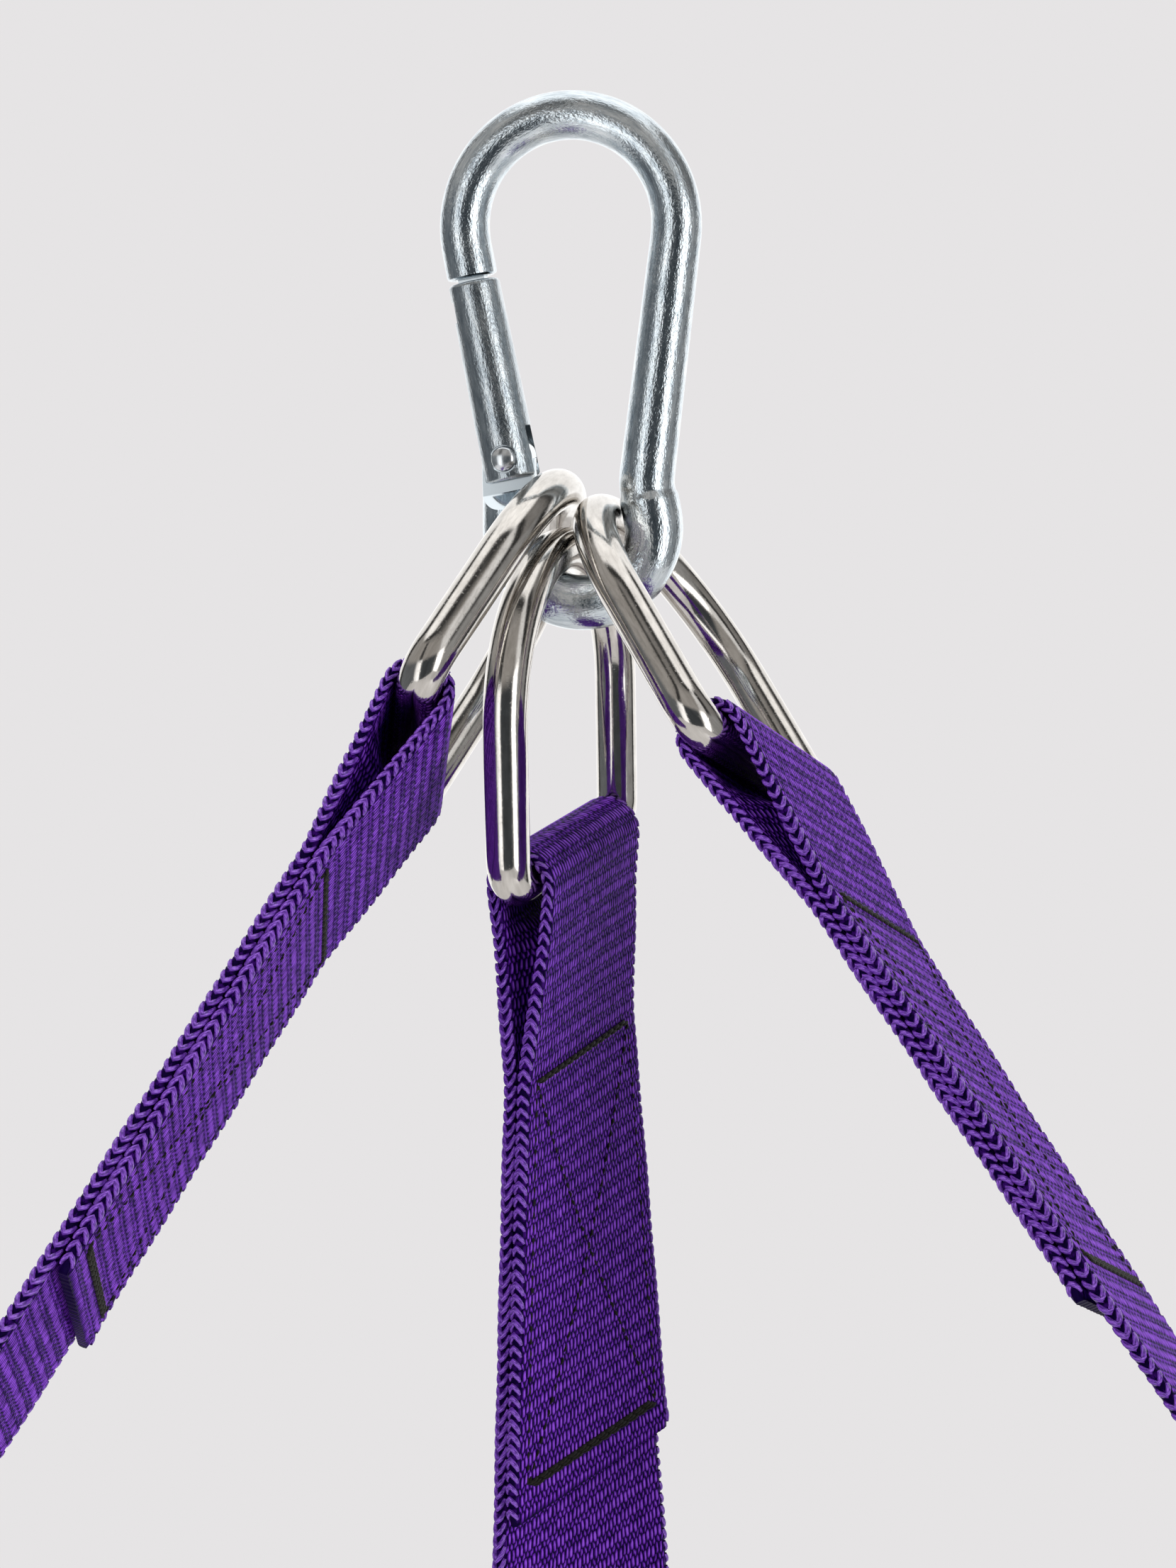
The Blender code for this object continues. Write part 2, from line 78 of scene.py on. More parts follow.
G_GATE_FOOT = -4.0
G_NOSE_END = 34.0
NOSE_CHAMFER = 2.2
NOSE_END_R = 3.9
TONGUE_Y = 4.0
TONGUE_R = 4.8
TONGUE_TOP = 4.2
G_RAMP_TOP = -6.0
HINGE_SLOT_Y = 4.6
G_SLOT_ROOF = 5.4
RIVET_HOLE_R = 1.8
REACH = 9.0  # how far the cutting tools reach past the wire
LUG_FOOT = 27.0
LUG_NECK_HALF_X = 2.5
LUG_NECK_HALF_Y = 1.5
LUG_HEAD_HALF_X = 2.49
LUG_HEAD_HALF_Y = 3.0
LUG_HEAD_TOP = 29.5
LATCH_INNER_X = 3.6
LATCH_SLOT_FOOT = 27.3
LATCH_SLOT_HALF_Y = 1.9
LATCH_POCKET = (26.3, 30.1)
LATCH_POCKET_HALF_Y = 2.9
GATE_RIM_R = 0.7
RIVET_SEAT_R = 2.6
RIVET_SEAT_Y = 6.85
RIVET_SEAT_HALF_DEPTH = 2.0
WORN_EDGE = 0.18

# Gate spring, in the gate's frame (mm)
SPRING_R = 1.35
SPRING_WIRE_R = 0.3
SPRING_TURNS = 8
G_SPRING_FOOT = 10.1
G_SPRING_TOP = 23.4

# D-rings (mm)
RING_WIRE_R = 4.0
RING_HALF_WIDTH = 29.0
RING_LEG = 29.0
RING_CORNER_R = 5.5

# Straps (mm): swing about the bar in degrees, sideways drift per unit of length, twist in degrees,
# the side, +1 or -1, that carries the cut ends, and where the upper lap ends. S_ is a place down the
# strap from the bar, and VISIBLE_FACE the side of the strap that faces the camera.
STRAP_SET = {
    "left": {"swing": 0.3, "drift": 0.065, "twist": 0.0, "tail": 1, "lap_end": 116.5},
    "centre": {"swing": 5.8, "drift": -0.234, "twist": 22.5, "tail": 1, "lap_end": 113.0},
    "right": {"swing": 2.0, "drift": 0.105, "twist": -4.5, "tail": -1, "lap_end": 114.0},
}
WEB_WIDTH = 48.6
LAYER = 2.6
WEB_THICK = 2.45
WEB_THICK_AT_BAR = 2.1
EDGE_STEPS = 4
TOP_EYE_R = 5.6
S_TOP_EYE_END = 35.0
S_LOW_TAIL_END = 165.0
S_LOW_EYE_START = 219.0
S_LOW_EYE = 240.0
LOW_EYE_R = 7.5
S_TWIST_START = 10.0
S_TWIST_END = 150.0
TAIL_LIFT = 0.6
TAIL_LIFT_LENGTH = 7.0
CUT_END_SHARE = 0.72
CUT_END_LENGTH = 1.6
SQUEEZE_END = 6.0
SQUEEZE_FADE = 14.0
VISIBLE_FACE = 1.0
SAG_SHARE = 0.92
SAG_FROM_EDGE = 14.0
SAG_START = 3.5
SAG_FADE_IN = 7.0
SAG_FADE_OUT = 8.0

# Weave (mm): a row of long floats, then a short row, along the strap; floats side by side across it
ROW_PITCH = 3.15
LONG_SHARE = 0.66
SHORT_HEIGHT = 0.55
CROWN_POWER = 0.32
RIDGE_POWER = 1.3
FLOAT_PITCH = 1.2
FLOAT_RELIEF = 0.18
COLUMN_SHIFT = 0.09

# Chained edge (mm)
LOOP_PITCH = 2.2
LOOP_REACH = 2.1
LOOP_YARN_R = 0.47
LOOP_STAND_OFF = 0.26

# Stitching (mm): half the box's width, and its ends along the strap
STITCH_HALF_WIDTH = 20.5
TOP_BOX_START = 36.0
TOP_BOX_TO_CUT = 6.0
LOW_BOX = (172.0, 213.0)
CROSS_STITCH = 2.2
BAR_STITCH = 2.9
STITCH_GAP = 0.8
BAR_OVERLAP = 0.5
LANE_SPACING = 0.50
CROSS_THREAD_R = 0.27
BAR_THREAD_R = 0.36


# ---------------------------------------------------------------- mesh helpers


def mesh_piece(name, points, quads, uv=None):
    """An object from points (mm) and quads, smooth, with a UV per face corner where given."""
    mesh = bpy.data.meshes.new(name)
    mesh.from_pydata((np.asarray(points) * MM).tolist(), [], np.asarray(quads).tolist())
    if uv is not None:
        layer = mesh.uv_layers.new(name="weave")
        layer.data.foreach_set("uv", np.asarray(uv, dtype=np.float32).reshape(-1))
    mesh.shade_smooth()
    obj = bpy.data.objects.new(name, mesh)
    bpy.context.scene.collection.objects.link(obj)
    return obj


def arc(centre, radius, start_deg, end_deg, steps):
    """Points along an arc, both ends included."""
    angles = np.radians(np.linspace(start_deg, end_deg, steps + 1))
    return np.stack([centre[0] + radius * np.cos(angles), centre[1] + radius * np.sin(angles)], axis=1)


def resample(points, step, closed=False):
    """The polyline with evenly spaced points."""
    points = np.asarray(points, dtype=float)
    if closed:
        points = np.vstack([points, points[:1]])
    lengths = np.concatenate([[0], np.cumsum(np.linalg.norm(np.diff(points, axis=0), axis=1))])
    count = max(2, int(round(lengths[-1] / step)))
    places = np.linspace(0, lengths[-1], count + 1)
    if closed:
        places = places[:-1]
    return np.stack([np.interp(places, lengths, points[:, i]) for i in range(points.shape[1])], axis=1)


def smoothed(points, rounds, closed=False):
    """The polyline after rounds of averaging each point with its neighbours."""
    points = points.copy()
    for _ in range(rounds):
        before, after = np.roll(points, 1, axis=0), np.roll(points, -1, axis=0)
        mixed = 0.25 * before + 0.5 * points + 0.25 * after
        if not closed:
            mixed[0], mixed[-1] = points[0], points[-1]
        points = mixed
    return points


def directions(points, closed=False):
    """Unit direction of the polyline at each point."""
    if closed:
        ahead = np.roll(points, -1, axis=0) - np.roll(points, 1, axis=0)
    else:
        ahead = np.gradient(points, axis=0)
    return ahead / np.linalg.norm(ahead, axis=1, keepdims=True)


def tube(points, radii, sides, across, closed=False):
    """(points, quads, uv) of a tube through points; across is a vector that stays off its direction."""
    points = np.asarray(points, dtype=float)
    ahead = directions(points, closed)
    first = np.cross(ahead, np.broadcast_to(across, ahead.shape))
    first /= np.linalg.norm(first, axis=1, keepdims=True)
    second = np.cross(ahead, first)
    angles = 2 * np.pi * np.arange(sides) / sides
    ring = first[:, None, :] * np.cos(angles)[None, :, None]
    ring = ring + second[:, None, :] * np.sin(angles)[None, :, None]
    shell = points[:, None, :] + ring * np.asarray(radii, dtype=float)[:, None, None]
    rows = len(points)
    row = np.arange(rows if closed else rows - 1)[:, None]
    side = np.arange(sides)[None, :]
    next_row = (row + 1) % rows
    next_side = (side + 1) % sides
    corners = [(row, side), (next_row, side), (next_row, next_side), (row, next_side)]
    quads = np.stack([line * sides + spot for line, spot in corners], axis=2).reshape(-1, 4)
    steps = np.linalg.norm(np.roll(points, -1, axis=0) - points, axis=1)
    along = np.concatenate([[0], np.cumsum(steps)])
    girth = 2 * np.pi * float(np.mean(radii))
    u0 = side / sides * girth + 0 * row
    u1 = (side + 1) / sides * girth + 0 * row
    v0, v1 = along[row] + 0 * side, along[row + 1] + 0 * side
    uv = np.stack([u0, v0, u0, v1, u1, v1, u1, v0], axis=2).reshape(-1, 4, 2)
    return shell.reshape(-1, 3), quads, uv


def join_shells(shells):
    """One (points, quads, uv) from several."""
    points, quads, uvs, start = [], [], [], 0
    for shell_points, shell_quads, shell_uv in shells:
        points.append(shell_points)
        quads.append(shell_quads + start)
        uvs.append(shell_uv)
        start += len(shell_points)
    return np.vstack(points), np.vstack(quads), np.vstack(uvs)


def close_ends(obj):
    """Fills the open ends of a tube or band."""
    shape = bmesh.new()
    shape.from_mesh(obj.data)
    ends = [edge for edge in shape.edges if edge.is_boundary]
    bmesh.ops.holes_fill(shape, edges=ends, sides=0)
    shape.to_mesh(obj.data)
    shape.free()


def set_material(obj, made):
    """Gives the object this one material."""
    obj.data.materials.clear()
    obj.data.materials.append(made)


# ---------------------------------------------------------------- shader helpers


def new_material(name):
    """A new material, its node tree and its shader."""
    made = bpy.data.materials.new(name)
    made.use_nodes = True
    return made, made.node_tree, made.node_tree.nodes["Principled BSDF"]


def maths(tree, operation, first, second=None, clamp=False):
    """A Math node on sockets or numbers, returning its output."""
    node = tree.nodes.new("ShaderNodeMath")
    node.operation = operation
    node.use_clamp = clamp
    for socket, value in zip(node.inputs, (first, second)):
        if value is None:
            continue
        if isinstance(value, (int, float)):
            socket.default_value = value
        else:
            tree.links.new(value, socket)
    return node.outputs[0]


def noise(tree, vector, scale, detail=2.0, roughness=0.5):
    """Noise at vector, about 0 to 1."""
    node = tree.nodes.new("ShaderNodeTexNoise")
    node.inputs["Scale"].default_value = scale
    node.inputs["Detail"].default_value = detail
    node.inputs["Roughness"].default_value = roughness
    tree.links.new(vector, node.inputs["Vector"])
    return node.outputs["Fac"]


def stretched(tree, vector, scale):
    """The vector scaled along each axis."""
    node = tree.nodes.new("ShaderNodeMapping")
    node.inputs["Scale"].default_value = scale
    tree.links.new(vector, node.inputs["Vector"])
    return node.outputs["Vector"]


def ramp(tree, value, stops):
    """A colour ramp; each stop is (place, colour)."""
    node = tree.nodes.new("ShaderNodeValToRGB")
    elements = node.color_ramp.elements
    while len(elements) < len(stops):
        elements.new(0.5)
    for element, (place, colour) in zip(elements, stops):
        element.position = place
        element.color = (*colour, 1.0)
    tree.links.new(value, node.inputs["Fac"])
    return node.outputs["Color"]


def remap(tree, value, low, high, start=0.0, end=1.0):
    """A value moved from the range start to end to the range low to high, and held inside it."""
    node = tree.nodes.new("ShaderNodeMapRange")
    for name, limit in (("From Min", start), ("From Max", end), ("To Min", low), ("To Max", high)):
        node.inputs[name].default_value = limit
    tree.links.new(value, node.inputs["Value"])
    return node.outputs["Result"]


def bump(tree, shader, height, strength, distance):
    """Fine relief on the shader; distance in metres."""
    node = tree.nodes.new("ShaderNodeBump")
    node.inputs["Strength"].default_value = strength
    node.inputs["Distance"].default_value = distance
    tree.links.new(height, node.inputs["Height"])
    tree.links.new(node.outputs["Normal"], shader.inputs["Normal"])


def uv_of(tree):
    """The piece's UV, in mm across and along."""
    node = tree.nodes.new("ShaderNodeUVMap")
    node.uv_map = "weave"
    return node.outputs["UV"]


def object_place(tree):
    """The place on the object, in metres."""
    return tree.nodes.new("ShaderNodeTexCoord").outputs["Object"]


# ---------------------------------------------------------------- materials


def zinc_material(name, tone, smoothest, roughest):
    """Bright zinc plating: bluish, mottled, with streaks along the drawn wire."""
    made, tree, shader = new_material(name)
    uv = uv_of(tree)
    streaks = noise(tree, stretched(tree, uv, (1.3, 0.22, 1.0)), 1.0, 5.0, 0.62)
    patches = noise(tree, stretched(tree, uv, (0.35, 0.16, 1.0)), 1.0, 3.0, 0.55)
    mixed = maths(tree, "MULTIPLY", streaks, 0.65)
    mixed = maths(tree, "ADD", mixed, maths(tree, "MULTIPLY", patches, 0.35))
    stops = [(0.36, (0.42, 0.48, 0.53)), (0.50, (0.62, 0.68, 0.72)), (0.64, (0.80, 0.85, 0.88))]
    stops = [(spot, tuple(tone * value for value in colour)) for spot, colour in stops]
    tree.links.new(ramp(tree, mixed, stops), shader.inputs["Base Color"])
    shader.inputs["Metallic"].default_value = 1.0
    tree.links.new(remap(tree, mixed, smoothest, roughest), shader.inputs["Roughness"])
    fine = noise(tree, stretched(tree, uv, (2.6, 1.1, 1.0)), 1.0, 3.0, 0.55)
    bump(tree, shader, fine, 0.6, 0.00014)
    return made


def nickel_material():
    """Polished nickel: warm, mirror bright, with small pits and faint wipe marks."""
    made, tree, shader = new_material("polished_nickel")
    uv = uv_of(tree)
    wipes = noise(tree, stretched(tree, uv, (0.9, 0.25, 1.0)), 1.0, 3.0, 0.6)
    colour = ramp(tree, wipes, [(0.30, (0.50, 0.475, 0.445)), (0.65, (0.66, 0.635, 0.60))])
    tree.links.new(colour, shader.inputs["Base Color"])
    shader.inputs["Metallic"].default_value = 1.0
    tree.links.new(remap(tree, wipes, 0.06, 0.16), shader.inputs["Roughness"])
    pits = noise(tree, stretched(tree, uv, (2.2, 2.2, 1.0)), 1.0, 2.0, 0.5)
    pits = ramp(tree, pits, [(0.30, (0.0, 0.0, 0.0)), (0.40, (1.0, 1.0, 1.0))])
    bump(tree, shader, pits, 0.12, 0.00005)
    return made


def plain_metal(name, colour, roughness):
    """A drawn or turned steel surface with fine marks, for small inner parts."""
    made, tree, shader = new_material(name)
    marks = noise(tree, stretched(tree, object_place(tree), (900.0, 900.0, 300.0)), 1.0, 3.0, 0.6)
    dark = tuple(value * 0.7 for value in colour)
    tree.links.new(ramp(tree, marks, [(0.35, dark), (0.6, colour)]), shader.inputs["Base Color"])
    shader.inputs["Metallic"].default_value = 1.0
    tree.links.new(remap(tree, marks, roughness - 0.1, roughness + 0.1), shader.inputs["Roughness"])
    bump(tree, shader, marks, 0.2, 0.00005)
    return made


def weave_height(tree, uv):
    """Height of the weave, 0 to 1: a row of long floats, then a short row half a float across."""
    split = tree.nodes.new("ShaderNodeSeparateXYZ")
    tree.links.new(uv, split.inputs["Vector"])
    wander = noise(tree, stretched(tree, uv, (0.5, 0.3, 1.0)), 1.0, 2.0, 0.5)
    wander = maths(tree, "MULTIPLY", maths(tree, "SUBTRACT", wander, 0.5), 0.7)
    across = maths(tree, "ADD", maths(tree, "DIVIDE", split.outputs["X"], FLOAT_PITCH), wander)
    column = maths(tree, "FLOOR", maths(tree, "DIVIDE", split.outputs["X"], FLOAT_PITCH))
    shift = maths(tree, "MULTIPLY", maths(tree, "FLOORED_MODULO", column, 2.0), COLUMN_SHIFT)
    rows = maths(tree, "ADD", maths(tree, "DIVIDE", split.outputs["Y"], ROW_PITCH), shift)
    in_row = maths(tree, "FRACT", rows)
    short = maths(tree, "GREATER_THAN", in_row, LONG_SHARE)
    across = maths(tree, "ADD", across, maths(tree, "MULTIPLY", short, 0.5))
    ridge = maths(tree, "ABSOLUTE", maths(tree, "SINE", maths(tree, "MULTIPLY", across, math.pi)))
    long_turn = maths(tree, "MULTIPLY", in_row, math.pi / LONG_SHARE)
    long_rise = maths(tree, "MAXIMUM", maths(tree, "SINE", long_turn), 0.0)
    left_over = maths(tree, "SUBTRACT", in_row, LONG_SHARE)
    short_turn = maths(tree, "MULTIPLY", left_over, math.pi / (1 - LONG_SHARE))
    short_rise = maths(tree, "MAXIMUM", maths(tree, "SINE", short_turn), 0.0)
    short_rise = maths(tree, "MULTIPLY", short_rise, SHORT_HEIGHT)
    long_part = maths(tree, "MULTIPLY", long_rise, maths(tree, "SUBTRACT", 1.0, short))
    rise = maths(tree, "ADD", long_part, maths(tree, "MULTIPLY", short_rise, short))
    ridge = maths(tree, "POWER", ridge, RIDGE_POWER)
    return maths(tree, "MULTIPLY", ridge, maths(tree, "POWER", rise, CROWN_POWER))


def weave_relief(y, lengths):
    """The height of the same weave, a little fuller, for the mesh."""
    shift = COLUMN_SHIFT * np.mod(np.floor(y / FLOAT_PITCH), 2)
    in_row = np.mod(lengths / ROW_PITCH + shift, 1.0)
    short = in_row > LONG_SHARE
    ridge = np.abs(np.sin(np.pi * (y / FLOAT_PITCH + 0.5 * short)))
    long_rise = np.maximum(np.sin(np.pi * in_row / LONG_SHARE), 0)
    short_rise = SHORT_HEIGHT * np.maximum(np.sin(np.pi * (in_row - LONG_SHARE) / (1 - LONG_SHARE)), 0)
    return ridge * np.where(short, short_rise, long_rise) ** CROWN_POWER


def melted_end_and_painted_edge_shade(tree, uv, length):
    """1 on the webbing's faces, falling at its darker melted cut ends, and lowered by painted shade in the
    hollows of its edges.
    """
    split = tree.nodes.new("ShaderNodeSeparateXYZ")
    tree.links.new(uv, split.inputs["Vector"])
    from_last = maths(tree, "SUBTRACT", length, split.outputs["Y"])
    from_end = maths(tree, "MINIMUM", split.outputs["Y"], from_last)
    cut = maths(tree, "MULTIPLY", maths(tree, "ADD", from_end, 1.2), 0.4, clamp=True)
    # The webbing's rounded edge, seen in the hollows between the chained loops, is darkened: painted shade.
    edge = (WEB_WIDTH - WEB_THICK) / 2
    painted_hollow_mask = maths(tree, "GREATER_THAN", maths(tree, "ABSOLUTE", split.outputs["X"]), edge)
    painted_edge_shade = maths(tree, "SUBTRACT", 1.0, maths(tree, "MULTIPLY", painted_hollow_mask, 0.55))
    return maths(tree, "MULTIPLY", cut, painted_edge_shade)


def webbing_material(length):
    """Purple webbing with painted shade between its floats, and shades of colour that drift; length is the
    webbing's, in mm.
    """
    made, tree, shader = new_material("purple_webbing")
    uv = uv_of(tree)
    height = weave_height(tree, uv)
    fibre = noise(tree, stretched(tree, uv, (6.0, 0.8, 1.0)), 1.0, 3.0, 0.6)
    tone = noise(tree, stretched(tree, uv, (0.22, 0.45, 1.0)), 1.0, 4.0, 0.65)
    # Colour from the weave's height: the low places between the floats get painted shade; fibre and
    # drifting tone are the yarn's own.
    weave_tone_and_painted_shade = maths(tree, "ADD", maths(tree, "MULTIPLY", height, 0.80), maths(tree, "MULTIPLY", fibre, 0.30))
    weave_tone_and_painted_shade = maths(tree, "SUBTRACT", weave_tone_and_painted_shade, 0.10)
    weave_tone_and_painted_shade = maths(tree, "ADD", weave_tone_and_painted_shade, maths(tree, "MULTIPLY", maths(tree, "SUBTRACT", tone, 0.5), 0.55))
    stops = [
        (0.16, (0.005, 0.001, 0.030)),
        (0.38, (0.042, 0.005, 0.155)),
        (0.58, (0.140, 0.022, 0.440)),
        (0.80, (0.330, 0.096, 0.780)),
    ]
    # Painted shade in the edge hollows, and the darker melted cut ends.
    weave_tone_and_painted_shade = maths(tree, "MULTIPLY", weave_tone_and_painted_shade, melted_end_and_painted_edge_shade(tree, uv, length))
    tree.links.new(ramp(tree, weave_tone_and_painted_shade, stops), shader.inputs["Base Color"])
    shader.inputs["Roughness"].default_value = 0.45
    shader.inputs["Specular IOR Level"].default_value = 0.02
    relief = maths(tree, "ADD", height, maths(tree, "MULTIPLY", fibre, 0.3))
    bump(tree, shader, relief, 0.8, 0.0004)
    return made


def selvage_material():
    """The glossier yarn of the chained edges, with fibre lines along it."""
    made, tree, shader = new_material("purple_selvage_yarn")
    uv = uv_of(tree)
    fibre = noise(tree, stretched(tree, uv, (3.0, 0.9, 1.0)), 1.0, 3.0, 0.6)
    stops = [(0.30, (0.020, 0.002, 0.085)), (0.46, (0.120, 0.026, 0.350)), (0.66, (0.330, 0.125, 0.720))]
    tree.links.new(ramp(tree, fibre, stops), shader.inputs["Base Color"])
    shader.inputs["Roughness"].default_value = 0.26
    shader.inputs["Specular IOR Level"].default_value = 0.6
    bump(tree, shader, fibre, 0.8, 0.0003)
    return made


def thread_material():
    """Matt black sewing thread with a faint ply."""
    made, tree, shader = new_material("black_sewing_thread")
    uv = uv_of(tree)
    ply = noise(tree, stretched(tree, uv, (4.0, 2.0, 1.0)), 1.0, 2.0, 0.5)
    colour = ramp(tree, ply, [(0.3, (0.003, 0.003, 0.003)), (0.8, (0.022, 0.021, 0.014))])
    tree.links.new(colour, shader.inputs["Base Color"])
    shader.inputs["Roughness"].default_value = 0.6
    shader.inputs["Specular IOR Level"].default_value = 0.12
    bump(tree, shader, ply, 0.5, 0.0001)
    return made


# ---------------------------------------------------------------- snap hook


def along_gate(height):
    """(x, z) of a height up the gate's middle line, in mm."""
    return (RIVET_X - math.sin(GATE_LEAN) * height, RIVET_Z + math.cos(GATE_LEAN) * height)


def gate_frame():
    """The gate's own frame: origin at its rivet, Z up the gate."""
    return Matrix.Translation(Vector((RIVET_X, 0, RIVET_Z)) * MM) @ Matrix.Rotation(-GATE_LEAN, 4, "Y")


def hook_line():
    """Centre (x, z) of the hook's wire from the nose round to the tongue, evenly spaced."""
    nose = np.array([along_gate(G_NOSE_END + NOSE_CHAMFER)])
    big_bow = arc((0.0, BIG_BOW_Z), BIG_BOW_R, 180 + math.degrees(GATE_LEAN), -math.degrees(SPINE_LEAN), 90)
    spine_x = big_bow[-1][0] - math.tan(SPINE_LEAN) * (big_bow[-1][1] - SPINE_END_Z)
    step_out = (FOOT_BOW_X + FOOT_BOW_R - spine_x) / 4
    step_down = (SPINE_END_Z - FOOT_BOW_Z) / 3
    knee = np.array(
        [
            (spine_x, SPINE_END_Z),
            (spine_x + step_out, SPINE_END_Z - step_down),
            (spine_x + 3 * step_out, SPINE_END_Z - 2 * step_down),
        ]
    )
    foot_bow = arc((FOOT_BOW_X, FOOT_BOW_Z), FOOT_BOW_R, 0, -180, 64)
    tongue = np.array([(RIVET_X, RIVET_Z - REACH + 1), (RIVET_X, RIVET_Z)])
    line = resample(np.vstack([nose, big_bow, knee, foot_bow, tongue]), 0.6)
    return smoothed(line, 3)


def hook_radii(line):
    """Wire radius: thicker towards the foot, with a small upset shoulder where the spine is stepped."""
    share = np.clip((WIRE_TOP_R - line[:, 1]) / (WIRE_TOP_R - WIRE_FOOT_Z), 0, 1)
    below_step = np.clip((SPINE_END_Z - STEP_BELOW_SPINE - line[:, 1]) / STEP_LENGTH, 0, 1)
    below_step = below_step * (line[:, 0] > FOOT_BOW_X)
    fades = np.clip((line[:, 1] - STEP_FADE_Z) / STEP_FADE_LENGTH, 0, 1)
    return WIRE_TOP_R + (WIRE_FOOT_R - WIRE_TOP_R) * share + STEP_SWELL * below_step * fades


def cut_or_join(obj, tool, operation, place):
    """Applies an exact Boolean with a tool at place, and removes the tool."""
    tool.matrix_world = place
    step = obj.modifiers.new("Cut", "BOOLEAN")
    step.operation = operation
    step.solver = "EXACT"
    step.object = tool
    bpy.context.view_layer.update()
    made = bpy.data.meshes.new_from_object(obj.evaluated_get(bpy.context.evaluated_depsgraph_get()))
    obj.modifiers.clear()
    obj.data = made
    bpy.data.objects.remove(tool, do_unlink=True)


def prism(name, outline, half_depth, axis):
    """A solid from a convex outline in the two other axes, reaching half_depth both ways along axis."""
    shape = bmesh.new()
    rings = []
    for depth in (-half_depth, half_depth):
        ring = []
        for a, b in outline:
            place = (depth, a, b) if axis == "X" else (a, depth, b)
            ring.append(shape.verts.new(Vector(place) * MM))
        rings.append(ring)
    shape.faces.new(rings[0])
    shape.faces.new(list(reversed(rings[1])))
    count = len(outline)
    for i in range(count):
        shape.faces.new([rings[0][i], rings[1][i], rings[1][(i + 1) % count], rings[0][(i + 1) % count]])
    bmesh.ops.recalc_face_normals(shape, faces=shape.faces)
    mesh = bpy.data.meshes.new(name)
    shape.to_mesh(mesh)
    shape.free()
    obj = bpy.data.objects.new(name, mesh)
    bpy.context.scene.collection.objects.link(obj)
    return obj


def rectangle(a_low, a_high, b_low, b_high):
    """The four corners of a rectangle."""
    return [(a_low, b_low), (a_high, b_low), (a_high, b_high), (a_low, b_high)]


def circle(radius, sides=48):
    """A circle's outline, centred on the origin."""
    return [
        (radius * math.cos(2 * math.pi * i / sides), radius * math.sin(2 * math.pi * i / sides))
        for i in range(sides)
    ]


def keep_sharp(obj, degrees):
    """Smooth faces, with edges over this angle left sharp."""
    obj.data.shade_smooth()
    obj.data.set_sharp_from_angle(angle=math.radians(degrees))


def make_hook(finish):
    """The bent wire with its chamfered nose, latch lug, flat tongue and sloping shoulders."""
    line = hook_line()
    radii = hook_radii(line)
    points = np.stack([line[:, 0], 0 * line[:, 0], line[:, 1]], axis=1)
    outward = points[0] - points[1]
    outward /= np.linalg.norm(outward)
    nose = [(NOSE_CHAMFER, NOSE_END_R), (1.9, radii[0] - 0.12), (1.4, radii[0])]
    points = np.vstack([[points[0] + outward * reach for reach, _ in nose], points])
    radii = np.concatenate([[radius for _, radius in nose], radii])
    body = mesh_piece("hook_wire", *tube(points, radii, 48, (0.0, 1.0, 0.0)))
    close_ends(body)

    place = gate_frame()
    half = TONGUE_Y / 2
    cut_or_join(body, prism("eye", circle(TONGUE_R), half + 0.8, "Y"), "UNION", place)
    for side in (-1, 1):
        outline = [
            (side * half, TONGUE_TOP + REACH),
            (side * half, G_RAMP_TOP),
            (side * REACH, G_RAMP_TOP - (REACH - half)),
            (side * REACH, TONGUE_TOP + REACH),
        ]
        cut_or_join(body, prism("ramp", outline, REACH, "X"), "DIFFERENCE", place)
    flat = rectangle(-REACH, REACH, TONGUE_TOP, TONGUE_TOP + REACH)
    cut_or_join(body, prism("flat", flat, REACH, "Y"), "DIFFERENCE", place)
    neck = rectangle(-LUG_NECK_HALF_X, LUG_NECK_HALF_X, LUG_FOOT, G_NOSE_END + 3)
    head = rectangle(-LUG_HEAD_HALF_Y, LUG_HEAD_HALF_Y, LUG_FOOT, LUG_HEAD_TOP)
    cut_or_join(body, prism("neck", neck, LUG_NECK_HALF_Y, "Y"), "UNION", place)
    cut_or_join(body, prism("head", head, LUG_HEAD_HALF_X, "X"), "UNION", place)
    keep_sharp(body, 32)
    soften_edges(body)
    set_material(body, finish)
    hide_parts("hook_body")
    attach(body, "hook")


def soften_edges(obj):
    """A small rounded edge, as plating and tumbling leave it."""
    bevel = obj.modifiers.new("Worn edges", "BEVEL")
    bevel.width = WORN_EDGE * MM
    bevel.segments = 2
    bevel.limit_method = "ANGLE"
    bevel.angle_limit = math.radians(40)


def gate_profile():
    """(height, radius) up the gate bar, rounded at both rims."""
    rim = GATE_RIM_R
    profile = [(G_GATE_FOOT, GATE_FOOT_R - rim)]
    for i in range(1, 6):
        angle = math.radians(18 * i)
        height = G_GATE_FOOT + rim * (1 - math.cos(angle))
        profile.append((height, GATE_FOOT_R - rim + rim * math.sin(angle)))
    profile += [(height, GATE_FOOT_R) for height in np.linspace(G_GATE_FOOT + 1.0, 0, 4)]
    for height in np.linspace(1.0, G_GATE_TOP - rim - 0.2, 24):
        share = height / (G_GATE_TOP - rim)
        profile.append((height, GATE_FOOT_R + (GATE_TOP_R - GATE_FOOT_R) * share))
    for i in range(0, 6):
        angle = math.radians(18 * i)
        height = G_GATE_TOP - rim * (1 - math.sin(angle))
        profile.append((height, GATE_TOP_R - rim + rim * math.cos(angle)))
    return profile


